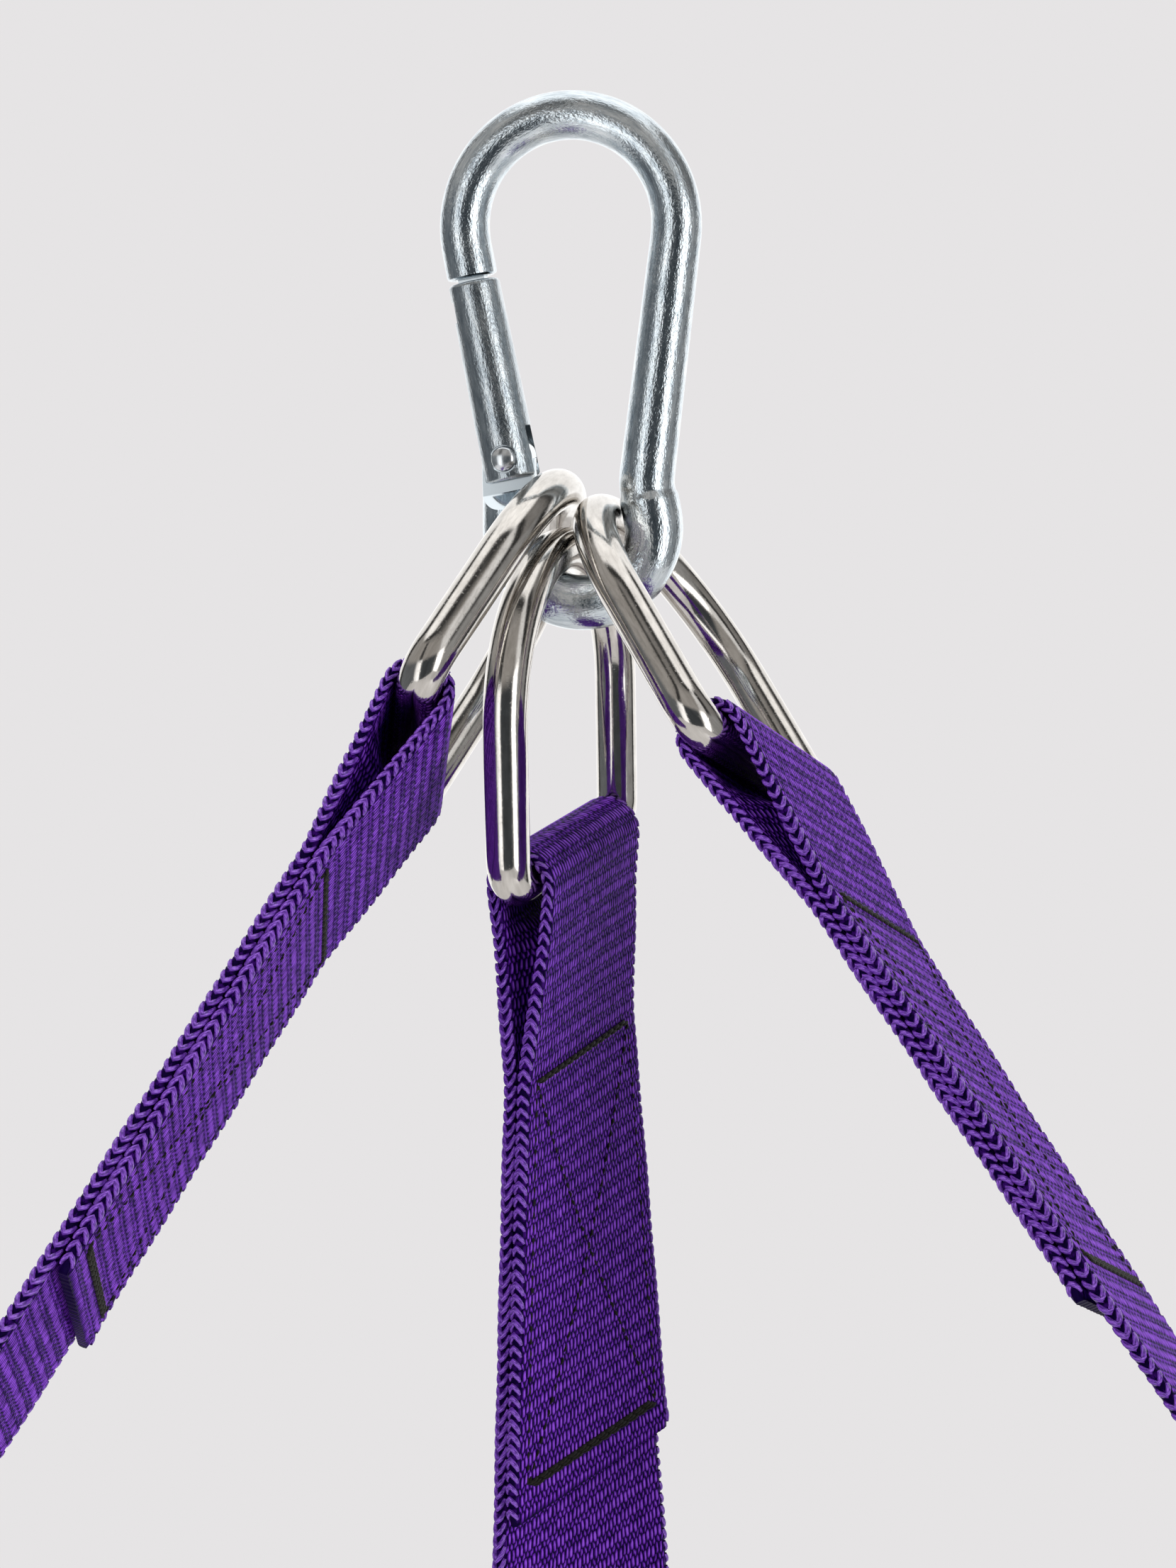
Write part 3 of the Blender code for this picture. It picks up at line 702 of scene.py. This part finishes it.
def make_gate(finish):
    """The round gate bar with its latch slot and pocket, hinge slot, rivet hole and rivet seats."""
    profile = gate_profile()
    points = np.array([(0.0, 0.0, height) for height, _ in profile])
    gate = mesh_piece("gate_bar", *tube(points, [radius for _, radius in profile], 64, (0.0, 1.0, 0.0)))
    close_ends(gate)
    place = gate_frame()
    gate.data.transform(place)
    slot = rectangle(-REACH, LATCH_INNER_X, LATCH_SLOT_FOOT, G_GATE_TOP + REACH)
    pocket = rectangle(-REACH, LATCH_INNER_X, *LATCH_POCKET)
    hinge = rectangle(-REACH, REACH, -REACH, G_SLOT_ROOF)
    tools = [
        prism("latch_slot", slot, LATCH_SLOT_HALF_Y, "Y"),
        prism("latch_pocket", pocket, LATCH_POCKET_HALF_Y, "Y"),
        prism("hinge_slot", hinge, HINGE_SLOT_Y / 2, "Y"),
        prism("rivet_hole", circle(RIVET_HOLE_R), REACH, "Y"),
    ]
    for tool in tools:
        cut_or_join(gate, tool, "DIFFERENCE", place)
    for side in (-1, 1):
        seat = prism("seat", circle(RIVET_SEAT_R), RIVET_SEAT_HALF_DEPTH, "Y")
        seat_place = place @ Matrix.Translation((0, side * RIVET_SEAT_Y * MM, 0))
        cut_or_join(gate, seat, "DIFFERENCE", seat_place)
    keep_sharp(gate, 32)
    soften_edges(gate)
    set_material(gate, finish)
    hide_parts("gate")
    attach(gate, "gate")


def make_rivet(finish):
    """The rivet, its heads peened to low domes with a soft rim."""
    profile = []
    dome, under, head, shank = 1.05, 5.0, 2.3, 1.6
    for i in range(9):
        angle = math.radians(90 - 90 * i / 8)
        profile.append((under + dome * math.sin(angle), max(head * math.cos(angle), 0.05)))
    half = profile + [(under - 0.05, head - 0.25), (under - 0.08, shank)]
    whole = half + [(-height, radius) for height, radius in reversed(half)]
    points = np.array([(0.0, height, 0.0) for height, _ in whole])
    radii = [radius for _, radius in whole]
    rivet = mesh_piece("gate_rivet_head", *tube(points, radii, 40, (1.0, 0.0, 0.0)))
    close_ends(rivet)
    rivet.data.transform(gate_frame())
    keep_sharp(rivet, 60)
    set_material(rivet, finish)
    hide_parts("gate_rivet")
    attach(rivet, "hook")


def make_spring(finish):
    """The gate's coil spring, built at one fixed length; the plunger squeezes it against the top of its
    bore.
    """
    turns = np.linspace(0, 2 * np.pi * SPRING_TURNS, SPRING_TURNS * 28 + 1)
    heights = np.linspace(G_SPRING_FOOT, G_SPRING_TOP, len(turns))
    points = np.stack([SPRING_R * np.cos(turns), SPRING_R * np.sin(turns), heights], axis=1)
    radii = np.full(len(points), SPRING_WIRE_R)
    spring = mesh_piece("gate_coil_spring", *tube(points, radii, 10, (0, 0, 1.0)))
    close_ends(spring)
    place = gate_frame()
    spring.data.transform(place)
    set_material(spring, finish)
    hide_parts("gate_spring")
    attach(spring, "gate")
    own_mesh(spring)


# ---------------------------------------------------------------- places of rings and straps


def joint_facts():
    """The record's joints by name."""
    return {joint["name"]: joint for joint in frame["joints"]}


def ring_place(side):
    """The ring's own frame: origin at its bow's centre, X its plane's normal, Y along its bar."""
    joints = joint_facts()
    swing, pivot = joints[f"{side}_ring_swing"], joints[f"{side}_strap_pivot"]
    centre, bar = Vector(swing["pos_m"]), Vector(pivot["pos_m"])
    up = (centre - bar).normalized()
    normal = Vector(swing["axis"]).normalized()
    along_bar = up.cross(normal).normalized()
    turn = Matrix((normal, along_bar, up)).transposed().to_4x4()
    return Matrix.Translation(centre) @ turn


def strap_place(side):
    """The strap's own frame: origin on the bar, X its visible face's normal, Z up the strap."""
    swing = math.radians(STRAP_SET[side]["swing"])
    return ring_place(side) @ Matrix.Translation((0, 0, -RING_LEG * MM)) @ Matrix.Rotation(-swing, 4, "Y")


def lay(side, points):
    """Strap points (x, y, s) in mm, s running down the strap, to world points in mm."""
    facts = STRAP_SET[side]
    x, y, s = points[:, 0], points[:, 1], points[:, 2]
    share = np.clip((s - S_TWIST_START) / (S_TWIST_END - S_TWIST_START), 0, 1)
    angle = math.radians(facts["twist"]) * share
    laid_x = x * np.cos(angle) + y * np.sin(angle)
    laid_y = y * np.cos(angle) - x * np.sin(angle) + facts["drift"] * np.maximum(s, 0)
    local = np.stack([laid_x, laid_y, -s, np.full_like(s, 1000.0)], axis=1) * MM
    return (local @ np.array(strap_place(side)).T)[:, :3] / MM


# ---------------------------------------------------------------- D-rings


def make_ring(side, finish):
    """A bent and welded D-ring, with a slight swelling where the wire's ends meet on the bar."""
    half, leg, corner = RING_HALF_WIDTH, RING_LEG, RING_CORNER_R
    line = np.vstack(
        [
            arc((0, 0), half, 0, 180, 120),
            arc((-half + corner, -leg + corner), corner, 180, 270, 24),
            arc((half - corner, -leg + corner), corner, 270, 360, 24),
        ]
    )
    line = smoothed(resample(line, 0.7, closed=True), 3, closed=True)
    points = np.stack([0 * line[:, 0], line[:, 0], line[:, 1]], axis=1)
    from_weld = np.linalg.norm(points - np.array([0.0, 4.0, -leg]), axis=1)
    radii = RING_WIRE_R + 0.18 * np.exp(-((from_weld / 1.6) ** 2))
    ring = mesh_piece(f"{side}_ring_wire", *tube(points, radii, 48, (1.0, 0.0, 0.0), closed=True))
    ring.data.transform(ring_place(side))
    set_material(ring, finish)
    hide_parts(f"{side}_d_ring")
    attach(ring, f"{side}_ring")


# ---------------------------------------------------------------- webbing


def webbing_path(side):
    """Middle line (x, s) of one webbing, from its upper cut end round the bar and the lower eye.

    Also the length along it at each point.
    """
    tail, lap_end = STRAP_SET[side]["tail"], STRAP_SET[side]["lap_end"]
    half = LAYER / 2
    top_touch = math.degrees(math.asin((TOP_EYE_R - half) / S_TOP_EYE_END))
    low_reach = S_LOW_EYE - S_LOW_EYE_START
    low_touch = math.degrees(math.asin((LOW_EYE_R - half) / low_reach))
    over_bar = arc((0, 0), TOP_EYE_R, -top_touch, 180 + top_touch, 40)
    under = arc((0, -S_LOW_EYE), LOW_EYE_R, 180 - low_touch, 360 + low_touch, 40)
    line = np.vstack(
        [
            [(half, -lap_end), (half, -S_TOP_EYE_END)],
            over_bar,
            [(-half, -S_TOP_EYE_END), (-half, -S_LOW_EYE_START)],
            under,
            [(half, -S_LOW_EYE_START), (half, -S_LOW_TAIL_END)],
        ]
    )
    line = smoothed(resample(line, ROW_PITCH / 4), 6)
    s = -line[:, 1]
    lengths = np.concatenate([[0], np.cumsum(np.linalg.norm(np.diff(line, axis=0), axis=1))])
    lift = np.clip(1 - lengths / TAIL_LIFT_LENGTH, 0, 1) ** 2
    end_lift = np.clip(1 - (lengths[-1] - lengths) / TAIL_LIFT_LENGTH, 0, 1) ** 2
    x = line[:, 0] + TAIL_LIFT * (lift + 0.4 * end_lift)
    return np.stack([tail * x, s], axis=1), lengths


def path_normals(path):
    """Unit normals of the (x, s) path, pointing away from the webbing's inner face."""
    ahead = directions(path)
    return np.stack([ahead[:, 1], -ahead[:, 0]], axis=1)


def section(edge_steps):
    """The webbing's section as rows of (y, share of thickness, reach past y in half thicknesses)."""
    count = int((WEB_WIDTH - WEB_THICK) / (FLOAT_PITCH / 2) / 2)
    flat = FLOAT_PITCH / 2 * np.arange(-count, count + 1)
    last = flat[-1]
    turns = np.linspace(90, -90, edge_steps + 1)[1:-1]
    top = [(y, 1.0, 0.0) for y in flat]
    far = [(last, math.sin(math.radians(turn)), math.cos(math.radians(turn))) for turn in turns]
    foot = [(y, -1.0, 0.0) for y in flat[::-1]]
    near = [(-last, -math.sin(math.radians(turn)), -math.cos(math.radians(turn))) for turn in turns]
    return np.array(top + far + foot + near)


def away_from_bar(path):
    """0 where the webbing lies on the ring's bar, rising to 1 a little way down the strap."""
    from_bar = np.hypot(path[:, 0], path[:, 1])
    return np.clip((from_bar - SQUEEZE_END) / SQUEEZE_FADE, 0, 1)


def thickness_at(path):
    """The webbing's thickness along its path, less on the bar."""
    return WEB_THICK_AT_BAR + (WEB_THICK - WEB_THICK_AT_BAR) * away_from_bar(path)


def cut_end_taper(lengths):
    """The webbing thins a little where its ends are cut hot."""
    from_end = np.minimum(lengths, lengths[-1] - lengths)
    return CUT_END_SHARE + (1 - CUT_END_SHARE) * np.clip(from_end / CUT_END_LENGTH, 0, 1)


def pinch(x, y, s):
    """How far the back layer sags towards the front one inside an eye, away from the webbing's edges."""
    from_edge = np.clip((WEB_WIDTH / 2 - np.abs(y)) / SAG_FROM_EDGE, 0, 1)
    below_bar = np.clip((s - RING_WIRE_R - SAG_START) / SAG_FADE_IN, 0, 1)
    below_bar = below_bar * np.clip((S_TOP_EYE_END - s) / SAG_FADE_OUT, 0, 1)
    blend = from_edge * from_edge * (3 - 2 * from_edge) * below_bar
    hidden = x * VISIBLE_FACE < 0
    gap = 2 * np.maximum(np.abs(x) - LAYER / 2, 0)
    return np.where(hidden, VISIBLE_FACE * gap * blend * SAG_SHARE, 0.0)


def row_wave(y, lengths):
    """How far the weave's rows wander along the webbing, in mm."""
    wave = 0.22 * np.sin(y * 0.09 + lengths * 0.05)
    return wave + 0.07 * np.sin(y * 0.41 - lengths * 0.11)


def band_corners(rows, around):
    """Row and place round the section of the four corners of every quad on a band."""
    row = np.arange(rows - 1)[:, None]
    place = np.arange(around)[None, :]
    after = (place + 1) % around
    return [(row, place), (row, after), (row + 1, after), (row + 1, place)]


def make_webbing(side, finish):
    """The webbing's body: a folded band with its weave in relief."""
    path, lengths = webbing_path(side)
    normals = path_normals(path)
    profile = section(EDGE_STEPS)
    half = (thickness_at(path) * cut_end_taper(lengths))[:, None] / 2
    flat = np.abs(profile[None, :, 2]) < 0.01
    woven = lengths[:, None] + row_wave(profile[None, :, 0], lengths[:, None])
    relief = FLOAT_RELIEF * (weave_relief(profile[None, :, 0], woven) - 0.6) * flat
    high = profile[None, :, 1] * (half + relief)
    y = profile[None, :, 0] + profile[None, :, 2] * half
    x = path[:, None, 0] + normals[:, None, 0] * high
    s = path[:, None, 1] + normals[:, None, 1] * high
    x = x + pinch(path[:, None, 0], profile[None, :, 0], path[:, None, 1])
    points = lay(side, np.stack([x, y, s], axis=2).reshape(-1, 3))
    corners = band_corners(*x.shape)
    quads = np.stack([line * x.shape[1] + spot for line, spot in corners], axis=2)
    u = profile[:, 0] + profile[:, 2] * WEB_THICK / 2
    uv = [np.stack([u[spot] + 0 * line, woven[line, spot]], axis=2) for line, spot in corners]
    uv = np.stack(uv, axis=2)
    web = mesh_piece(f"{side}_webbing", points, quads.reshape(-1, 4), uv.reshape(-1, 4, 2))
    close_ends(web)
    keep_sharp(web, 70)
    set_material(web, finish)
    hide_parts(f"{side}_strap")
    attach(web, f"{side}_strap")


def along_path(path, lengths, places):
    """Place, normal and half thickness of the webbing's edge at places along it."""
    normals = path_normals(path)
    centre = np.stack([np.interp(places, lengths, path[:, i]) for i in range(2)], axis=1)
    normal = np.stack([np.interp(places, lengths, normals[:, i]) for i in range(2)], axis=1)
    return centre, normal, np.interp(places, lengths, thickness_at(path)) / 2


def edge_points(edge, centre, normal, half, turn, stand_off):
    """Points round the webbing's rounded edge; turn is the angle from straight out, in radians."""
    reach = half + stand_off
    high = (reach * np.sin(turn))[:, None] * normal
    y = edge * (WEB_WIDTH / 2 - half + reach * np.cos(turn))
    return np.stack([centre[:, 0] + high[:, 0], y, centre[:, 1] + high[:, 1]], axis=1)


def chain_loop(side, edge, path, lengths, number):
    """One V of the chained edge: its point lies on the edge and its arms run back onto both faces."""
    share = np.linspace(-1, 1, 9)
    out = 1 - np.abs(share)
    middle = LOOP_PITCH * (number + 1)
    looseness = math.sin(5.7 * number + 1.3 * edge)
    places = middle + LOOP_REACH * (1 + 0.18 * looseness) * (out**0.8 - 0.5)
    centre, normal, half = along_path(path, lengths, places)
    turn = math.radians(70 + 5 * looseness) * share
    free = away_from_bar(centre)
    laid = lay(side, edge_points(edge, centre, normal, half, turn, LOOP_STAND_OFF * out * free - 0.12))
    swell = (LOOP_YARN_R + 0.04 * looseness * free) * (1 - 0.35 * share**4) * (0.8 + 0.2 * free)
    return tube(laid, swell, 8, (0.31, 0.2, 0.9))


def make_selvage(side, finish):
    """The chunky chained edges of the webbing."""
    path, lengths = webbing_path(side)
    count = int(lengths[-1] / LOOP_PITCH) - 1
    loops = [chain_loop(side, edge, path, lengths, i) for edge in (-1, 1) for i in range(count)]
    selvage = mesh_piece(f"{side}_selvage", *join_shells(loops))
    set_material(selvage, finish)
    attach(selvage, f"{side}_strap")


# ---------------------------------------------------------------- stitching


def stitch_points(start, end, length, gap):
    """Start and end (y, s) of each stitch on a sewn line."""
    start, end = np.array(start, dtype=float), np.array(end, dtype=float)
    reach = np.linalg.norm(end - start)
    count = max(1, int(round(reach / length)))
    step = (end - start) / count
    margin = gap / 2 / (reach / count)
    return [(start + step * (i + margin), start + step * (i + 1 - margin)) for i in range(count)]


def stitch_shell(side, face, first, second, radius, sunk):
    """One stitch lying on a face of the doubled strap, its ends pulled into the webbing."""
    share = np.linspace(0, 1, 7)[:, None]
    flat = first + (second - first) * share
    rise = np.sin(np.pi * share[:, 0]) ** 0.5
    x = face * (LAYER / 2 + WEB_THICK / 2 + radius * (1.6 * rise - 1.0) - sunk)
    laid = lay(side, np.stack([x, flat[:, 0], flat[:, 1]], axis=1))
    swell = radius * (0.55 + 0.45 * rise)
    return tube(laid, swell, 7, (0.31, 0.2, 0.9))


def cross_lines(ends):
    """The single sewn lines and how deep each lies: two sides and the cross."""
    half = STITCH_HALF_WIDTH
    top, foot = ends
    return [
        ((-half, top), (-half, foot), 0.19),
        ((half, top), (half, foot), 0.19),
        ((-half, top), (half, foot), 0.09),
        ((half, top), (-half, foot), 0.09),
    ]


def make_stitching(side, which, ends, finish):
    """A box and cross of thread on both faces; its two end bars are sewn over again."""
    shells = []
    for face in (-1, 1):
        for start, end, sunk in cross_lines(ends):
            for first, second in stitch_points(start, end, CROSS_STITCH, STITCH_GAP):
                shells.append(stitch_shell(side, face, first, second, CROSS_THREAD_R, sunk))
        for height, lanes in ((ends[0], 2), (ends[1], 3)):
            for lane in range(lanes):
                shift = LANE_SPACING * (lane - (lanes - 1) / 2)
                start = (-STITCH_HALF_WIDTH + BAR_STITCH * lane / lanes, height + shift)
                end = (STITCH_HALF_WIDTH - BAR_STITCH * (lanes - 1 - lane) / lanes, height + shift)
                for first, second in stitch_points(start, end, BAR_STITCH, -BAR_OVERLAP):
                    shells.append(stitch_shell(side, face, first, second, BAR_THREAD_R, 0.0))
    thread = mesh_piece(f"{side}_{which}_thread", *join_shells(shells))
    close_ends(thread)
    set_material(thread, finish)
    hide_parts(f"{side}_{which}_stitching")
    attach(thread, f"{side}_strap")


# ---------------------------------------------------------------- camera, light and floor


def add_camera():
    """The camera that the rest picture is taken with."""
    camera = bpy.data.objects.new("camera", bpy.data.cameras.new("camera"))
    camera.data.lens = CAMERA_LENS
    camera.data.sensor_fit = "VERTICAL"
    camera.data.sensor_height = FRAME_HEIGHT
    camera.data.clip_start = 0.01
    turn = Matrix.Rotation(math.radians(CAMERA_YAW), 4, "Z")
    turn @= Matrix.Rotation(math.radians(-CAMERA_DOWN), 4, "X")
    turn @= Matrix.Rotation(math.radians(CAMERA_ROLL), 4, "Y")
    turn @= Matrix.Rotation(math.radians(90), 4, "X")
    camera.matrix_world = Matrix.Translation(CAMERA_PLACE) @ turn
    bpy.context.scene.collection.objects.link(camera)
    bpy.context.scene.camera = camera


def add_area_light(name, place, target, width, height, power, colour):
    """A softbox that lights the part but isn't seen or mirrored."""
    data = bpy.data.lights.new(name, "AREA")
    data.shape = "RECTANGLE"
    data.size, data.size_y = width, height
    data.energy = power
    data.color = colour
    light = bpy.data.objects.new(name, data)
    light.location = place
    light.rotation_euler = (Vector(target) - Vector(place)).to_track_quat("-Z", "Y").to_euler()
    light.visible_camera = False
    light.visible_glossy = False
    bpy.context.scene.collection.objects.link(light)


def facing(degrees):
    """A compass direction, in degrees to the right of the part's front, as a place on a ramp."""
    return 0.5 + degrees / 360


def grey(value, warmth=0.0):
    """A grey, warm above 0 and cool below."""
    return (value * (1 + warmth), value, value * (1 - warmth))


# The studio round the part, for light and mirrored colours: degrees to the right of the front, colour
EYE_LEVEL_ROOM = [
    (-140, grey(0.42)),
    (-120, grey(0.38)),
    (-113, grey(0.012)),
    (-106, grey(0.012)),
    (-99, grey(0.060, -0.06)),
    (-40, grey(0.050, -0.06)),
    (-30, grey(0.46)),
    (-17, grey(0.60)),
    (-11, grey(0.022, -0.1)),
    (34, grey(0.020, -0.1)),
    (42, grey(0.06)),
    (50, grey(1.0)),
    (62, grey(1.0)),
    (70, grey(0.12)),
    (112, grey(0.10)),
    (118, grey(0.010)),
    (125, grey(0.010)),
    (132, grey(0.42)),
]
UPPER_ROOM = [
    (-140, grey(0.40)),
    (-124, grey(0.36)),
    (-117, grey(0.010)),
    (-108, grey(0.010)),
    (-99, grey(0.125, 0.03)),
    (-34, grey(0.125, 0.05)),
    (-28, grey(0.012)),
    (-20, grey(0.012)),
    (-14, grey(0.130, 0.05)),
    (46, grey(0.115, 0.05)),
    (55, grey(0.30)),
    (70, grey(0.30)),
    (76, grey(0.012)),
    (86, grey(0.012)),
    (94, grey(0.09, 0.03)),
    (120, grey(0.07, 0.03)),
    (127, grey(0.012)),
    (134, grey(0.012)),
    (142, grey(0.40)),
]
# The ceiling from front to back: place, colour
CEILING = [
    (0.15, grey(0.10, 0.04)),
    (0.27, grey(0.09, 0.04)),
    (0.31, grey(0.012)),
    (0.36, grey(0.012)),
    (0.40, grey(0.42, 0.01)),
    (1.00, grey(0.50)),
]
ROOM_STRENGTH = 3.2


def room_row(tree, around, stops):
    """The studio's colours all the way round at one height."""
    return ramp(tree, around, [(facing(degrees), colour) for degrees, colour in stops])


def blended(tree, share, first, second):
    """Colours mixed from first to second by share."""
    mix = tree.nodes.new("ShaderNodeMix")
    mix.data_type = "RGBA"
    tree.links.new(share, mix.inputs["Factor"])
    tree.links.new(first, mix.inputs["A"])
    tree.links.new(second, mix.inputs["B"])
    return mix.outputs["Result"]


def camera_sees(tree, seen, lit):
    """The shader seen to the camera and the shader lit to everything else."""
    choose = tree.nodes.new("ShaderNodeMixShader")
    tree.links.new(tree.nodes.new("ShaderNodeLightPath").outputs["Is Camera Ray"], choose.inputs["Fac"])
    tree.links.new(lit, choose.inputs[1])
    tree.links.new(seen, choose.inputs[2])
    return choose.outputs["Shader"]


def add_world():
    """A studio as the metal sees it: softboxes, dark gaps, a warm wall in front, white behind."""
    world = bpy.data.worlds.new("studio")
    world.use_nodes = True
    bpy.context.scene.world = world
    tree = world.node_tree
    tree.nodes.clear()
    split = tree.nodes.new("ShaderNodeSeparateXYZ")
    tree.links.new(tree.nodes.new("ShaderNodeTexCoord").outputs["Generated"], split.inputs["Vector"])
    front = maths(tree, "MULTIPLY", split.outputs["Y"], -1.0)
    turn = maths(tree, "ARCTAN2", split.outputs["X"], front)
    around = maths(tree, "ADD", maths(tree, "DIVIDE", turn, 2 * math.pi), 0.5)
    height = split.outputs["Z"]
    room = room_row(tree, around, EYE_LEVEL_ROOM)
    above = remap(tree, height, 0.0, 1.0, 0.20, 0.34)
    room = blended(tree, above, room, room_row(tree, around, UPPER_ROOM))
    ceiling = ramp(tree, remap(tree, split.outputs["Y"], 0.0, 1.0, -1.0, 1.0), CEILING)
    room = blended(tree, remap(tree, height, 0.0, 1.0, 0.78, 0.86), room, ceiling)
    seen = tree.nodes.new("ShaderNodeBackground")
    seen.inputs["Color"].default_value = (*BACKDROP, 1.0)
    lit = tree.nodes.new("ShaderNodeBackground")
    lit.inputs["Strength"].default_value = ROOM_STRENGTH
    tree.links.new(room, lit.inputs["Color"])
    output = tree.nodes.new("ShaderNodeOutputWorld")
    chosen = camera_sees(tree, seen.outputs["Background"], lit.outputs["Background"])
    tree.links.new(chosen, output.inputs["Surface"])


def add_floor():
    """A wide pale floor, the same tone as the backdrop."""
    size, level = 1.3, -0.9
    corners = [(-size, -size, level), (size, -size, level), (size, size, level), (-size, size, level)]
    mesh = bpy.data.meshes.new("floor")
    mesh.from_pydata(corners, [], [(0, 1, 2, 3)])
    floor = bpy.data.objects.new("floor", mesh)
    bpy.context.scene.collection.objects.link(floor)
    made, tree, shader = new_material("pale_floor")
    shader.inputs["Base Color"].default_value = (0.85, 0.84, 0.84, 1.0)
    shader.inputs["Roughness"].default_value = 0.9
    glow = tree.nodes.new("ShaderNodeEmission")
    glow.inputs["Color"].default_value = (*BACKDROP, 1.0)
    chosen = camera_sees(tree, glow.outputs["Emission"], shader.outputs["BSDF"])
    tree.links.new(chosen, tree.nodes["Material Output"].inputs["Surface"])
    set_material(floor, made)


def add_lights():
    """The two softboxes, left and right of the camera."""
    middle = (0.0, 0.0, -0.12)
    add_area_light("left_softbox", (-0.45, -0.85, 0.45), middle, 0.5, 0.7, 6.0, (1.0, 0.99, 0.97))
    add_area_light("right_softbox", (0.85, -0.50, -0.55), middle, 0.4, 0.9, 3.7, (0.97, 0.98, 1.0))


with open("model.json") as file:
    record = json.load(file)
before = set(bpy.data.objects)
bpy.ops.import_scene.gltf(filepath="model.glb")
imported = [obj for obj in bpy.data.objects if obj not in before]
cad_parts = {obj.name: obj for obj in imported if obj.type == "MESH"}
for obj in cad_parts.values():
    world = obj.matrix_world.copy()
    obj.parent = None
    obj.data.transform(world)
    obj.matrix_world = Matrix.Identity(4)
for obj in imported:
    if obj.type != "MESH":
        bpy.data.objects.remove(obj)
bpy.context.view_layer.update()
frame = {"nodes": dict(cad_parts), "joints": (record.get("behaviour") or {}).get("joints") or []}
add_camera()
add_world()
add_floor()
add_lights()
bpy.context.scene.view_settings.view_transform = "Standard"

zinc = zinc_material("zinc_plated_wire", 1.0, 0.03, 0.22)
gate_zinc = zinc_material("zinc_plated_gate", 0.80, 0.10, 0.32)
nickel = nickel_material()
webbing = webbing_material(float(webbing_path("centre")[1][-1]))
yarn = selvage_material()
thread = thread_material()
inner_steel = plain_metal("spring_steel", (0.45, 0.46, 0.48), 0.35)

make_hook(zinc)
make_gate(gate_zinc)
make_rivet(plain_metal("zinc_plated_rivet", (0.78, 0.82, 0.85), 0.22))
make_spring(inner_steel)
set_material(frame["nodes"]["gate_plunger"], inner_steel)
for side in SIDES:
    make_ring(side, nickel)
    make_webbing(side, webbing)
    make_selvage(side, yarn)
    top_box = (TOP_BOX_START, STRAP_SET[side]["lap_end"] - TOP_BOX_TO_CUT)
    make_stitching(side, "upper", top_box, thread)
    make_stitching(side, "lower", LOW_BOX, thread)
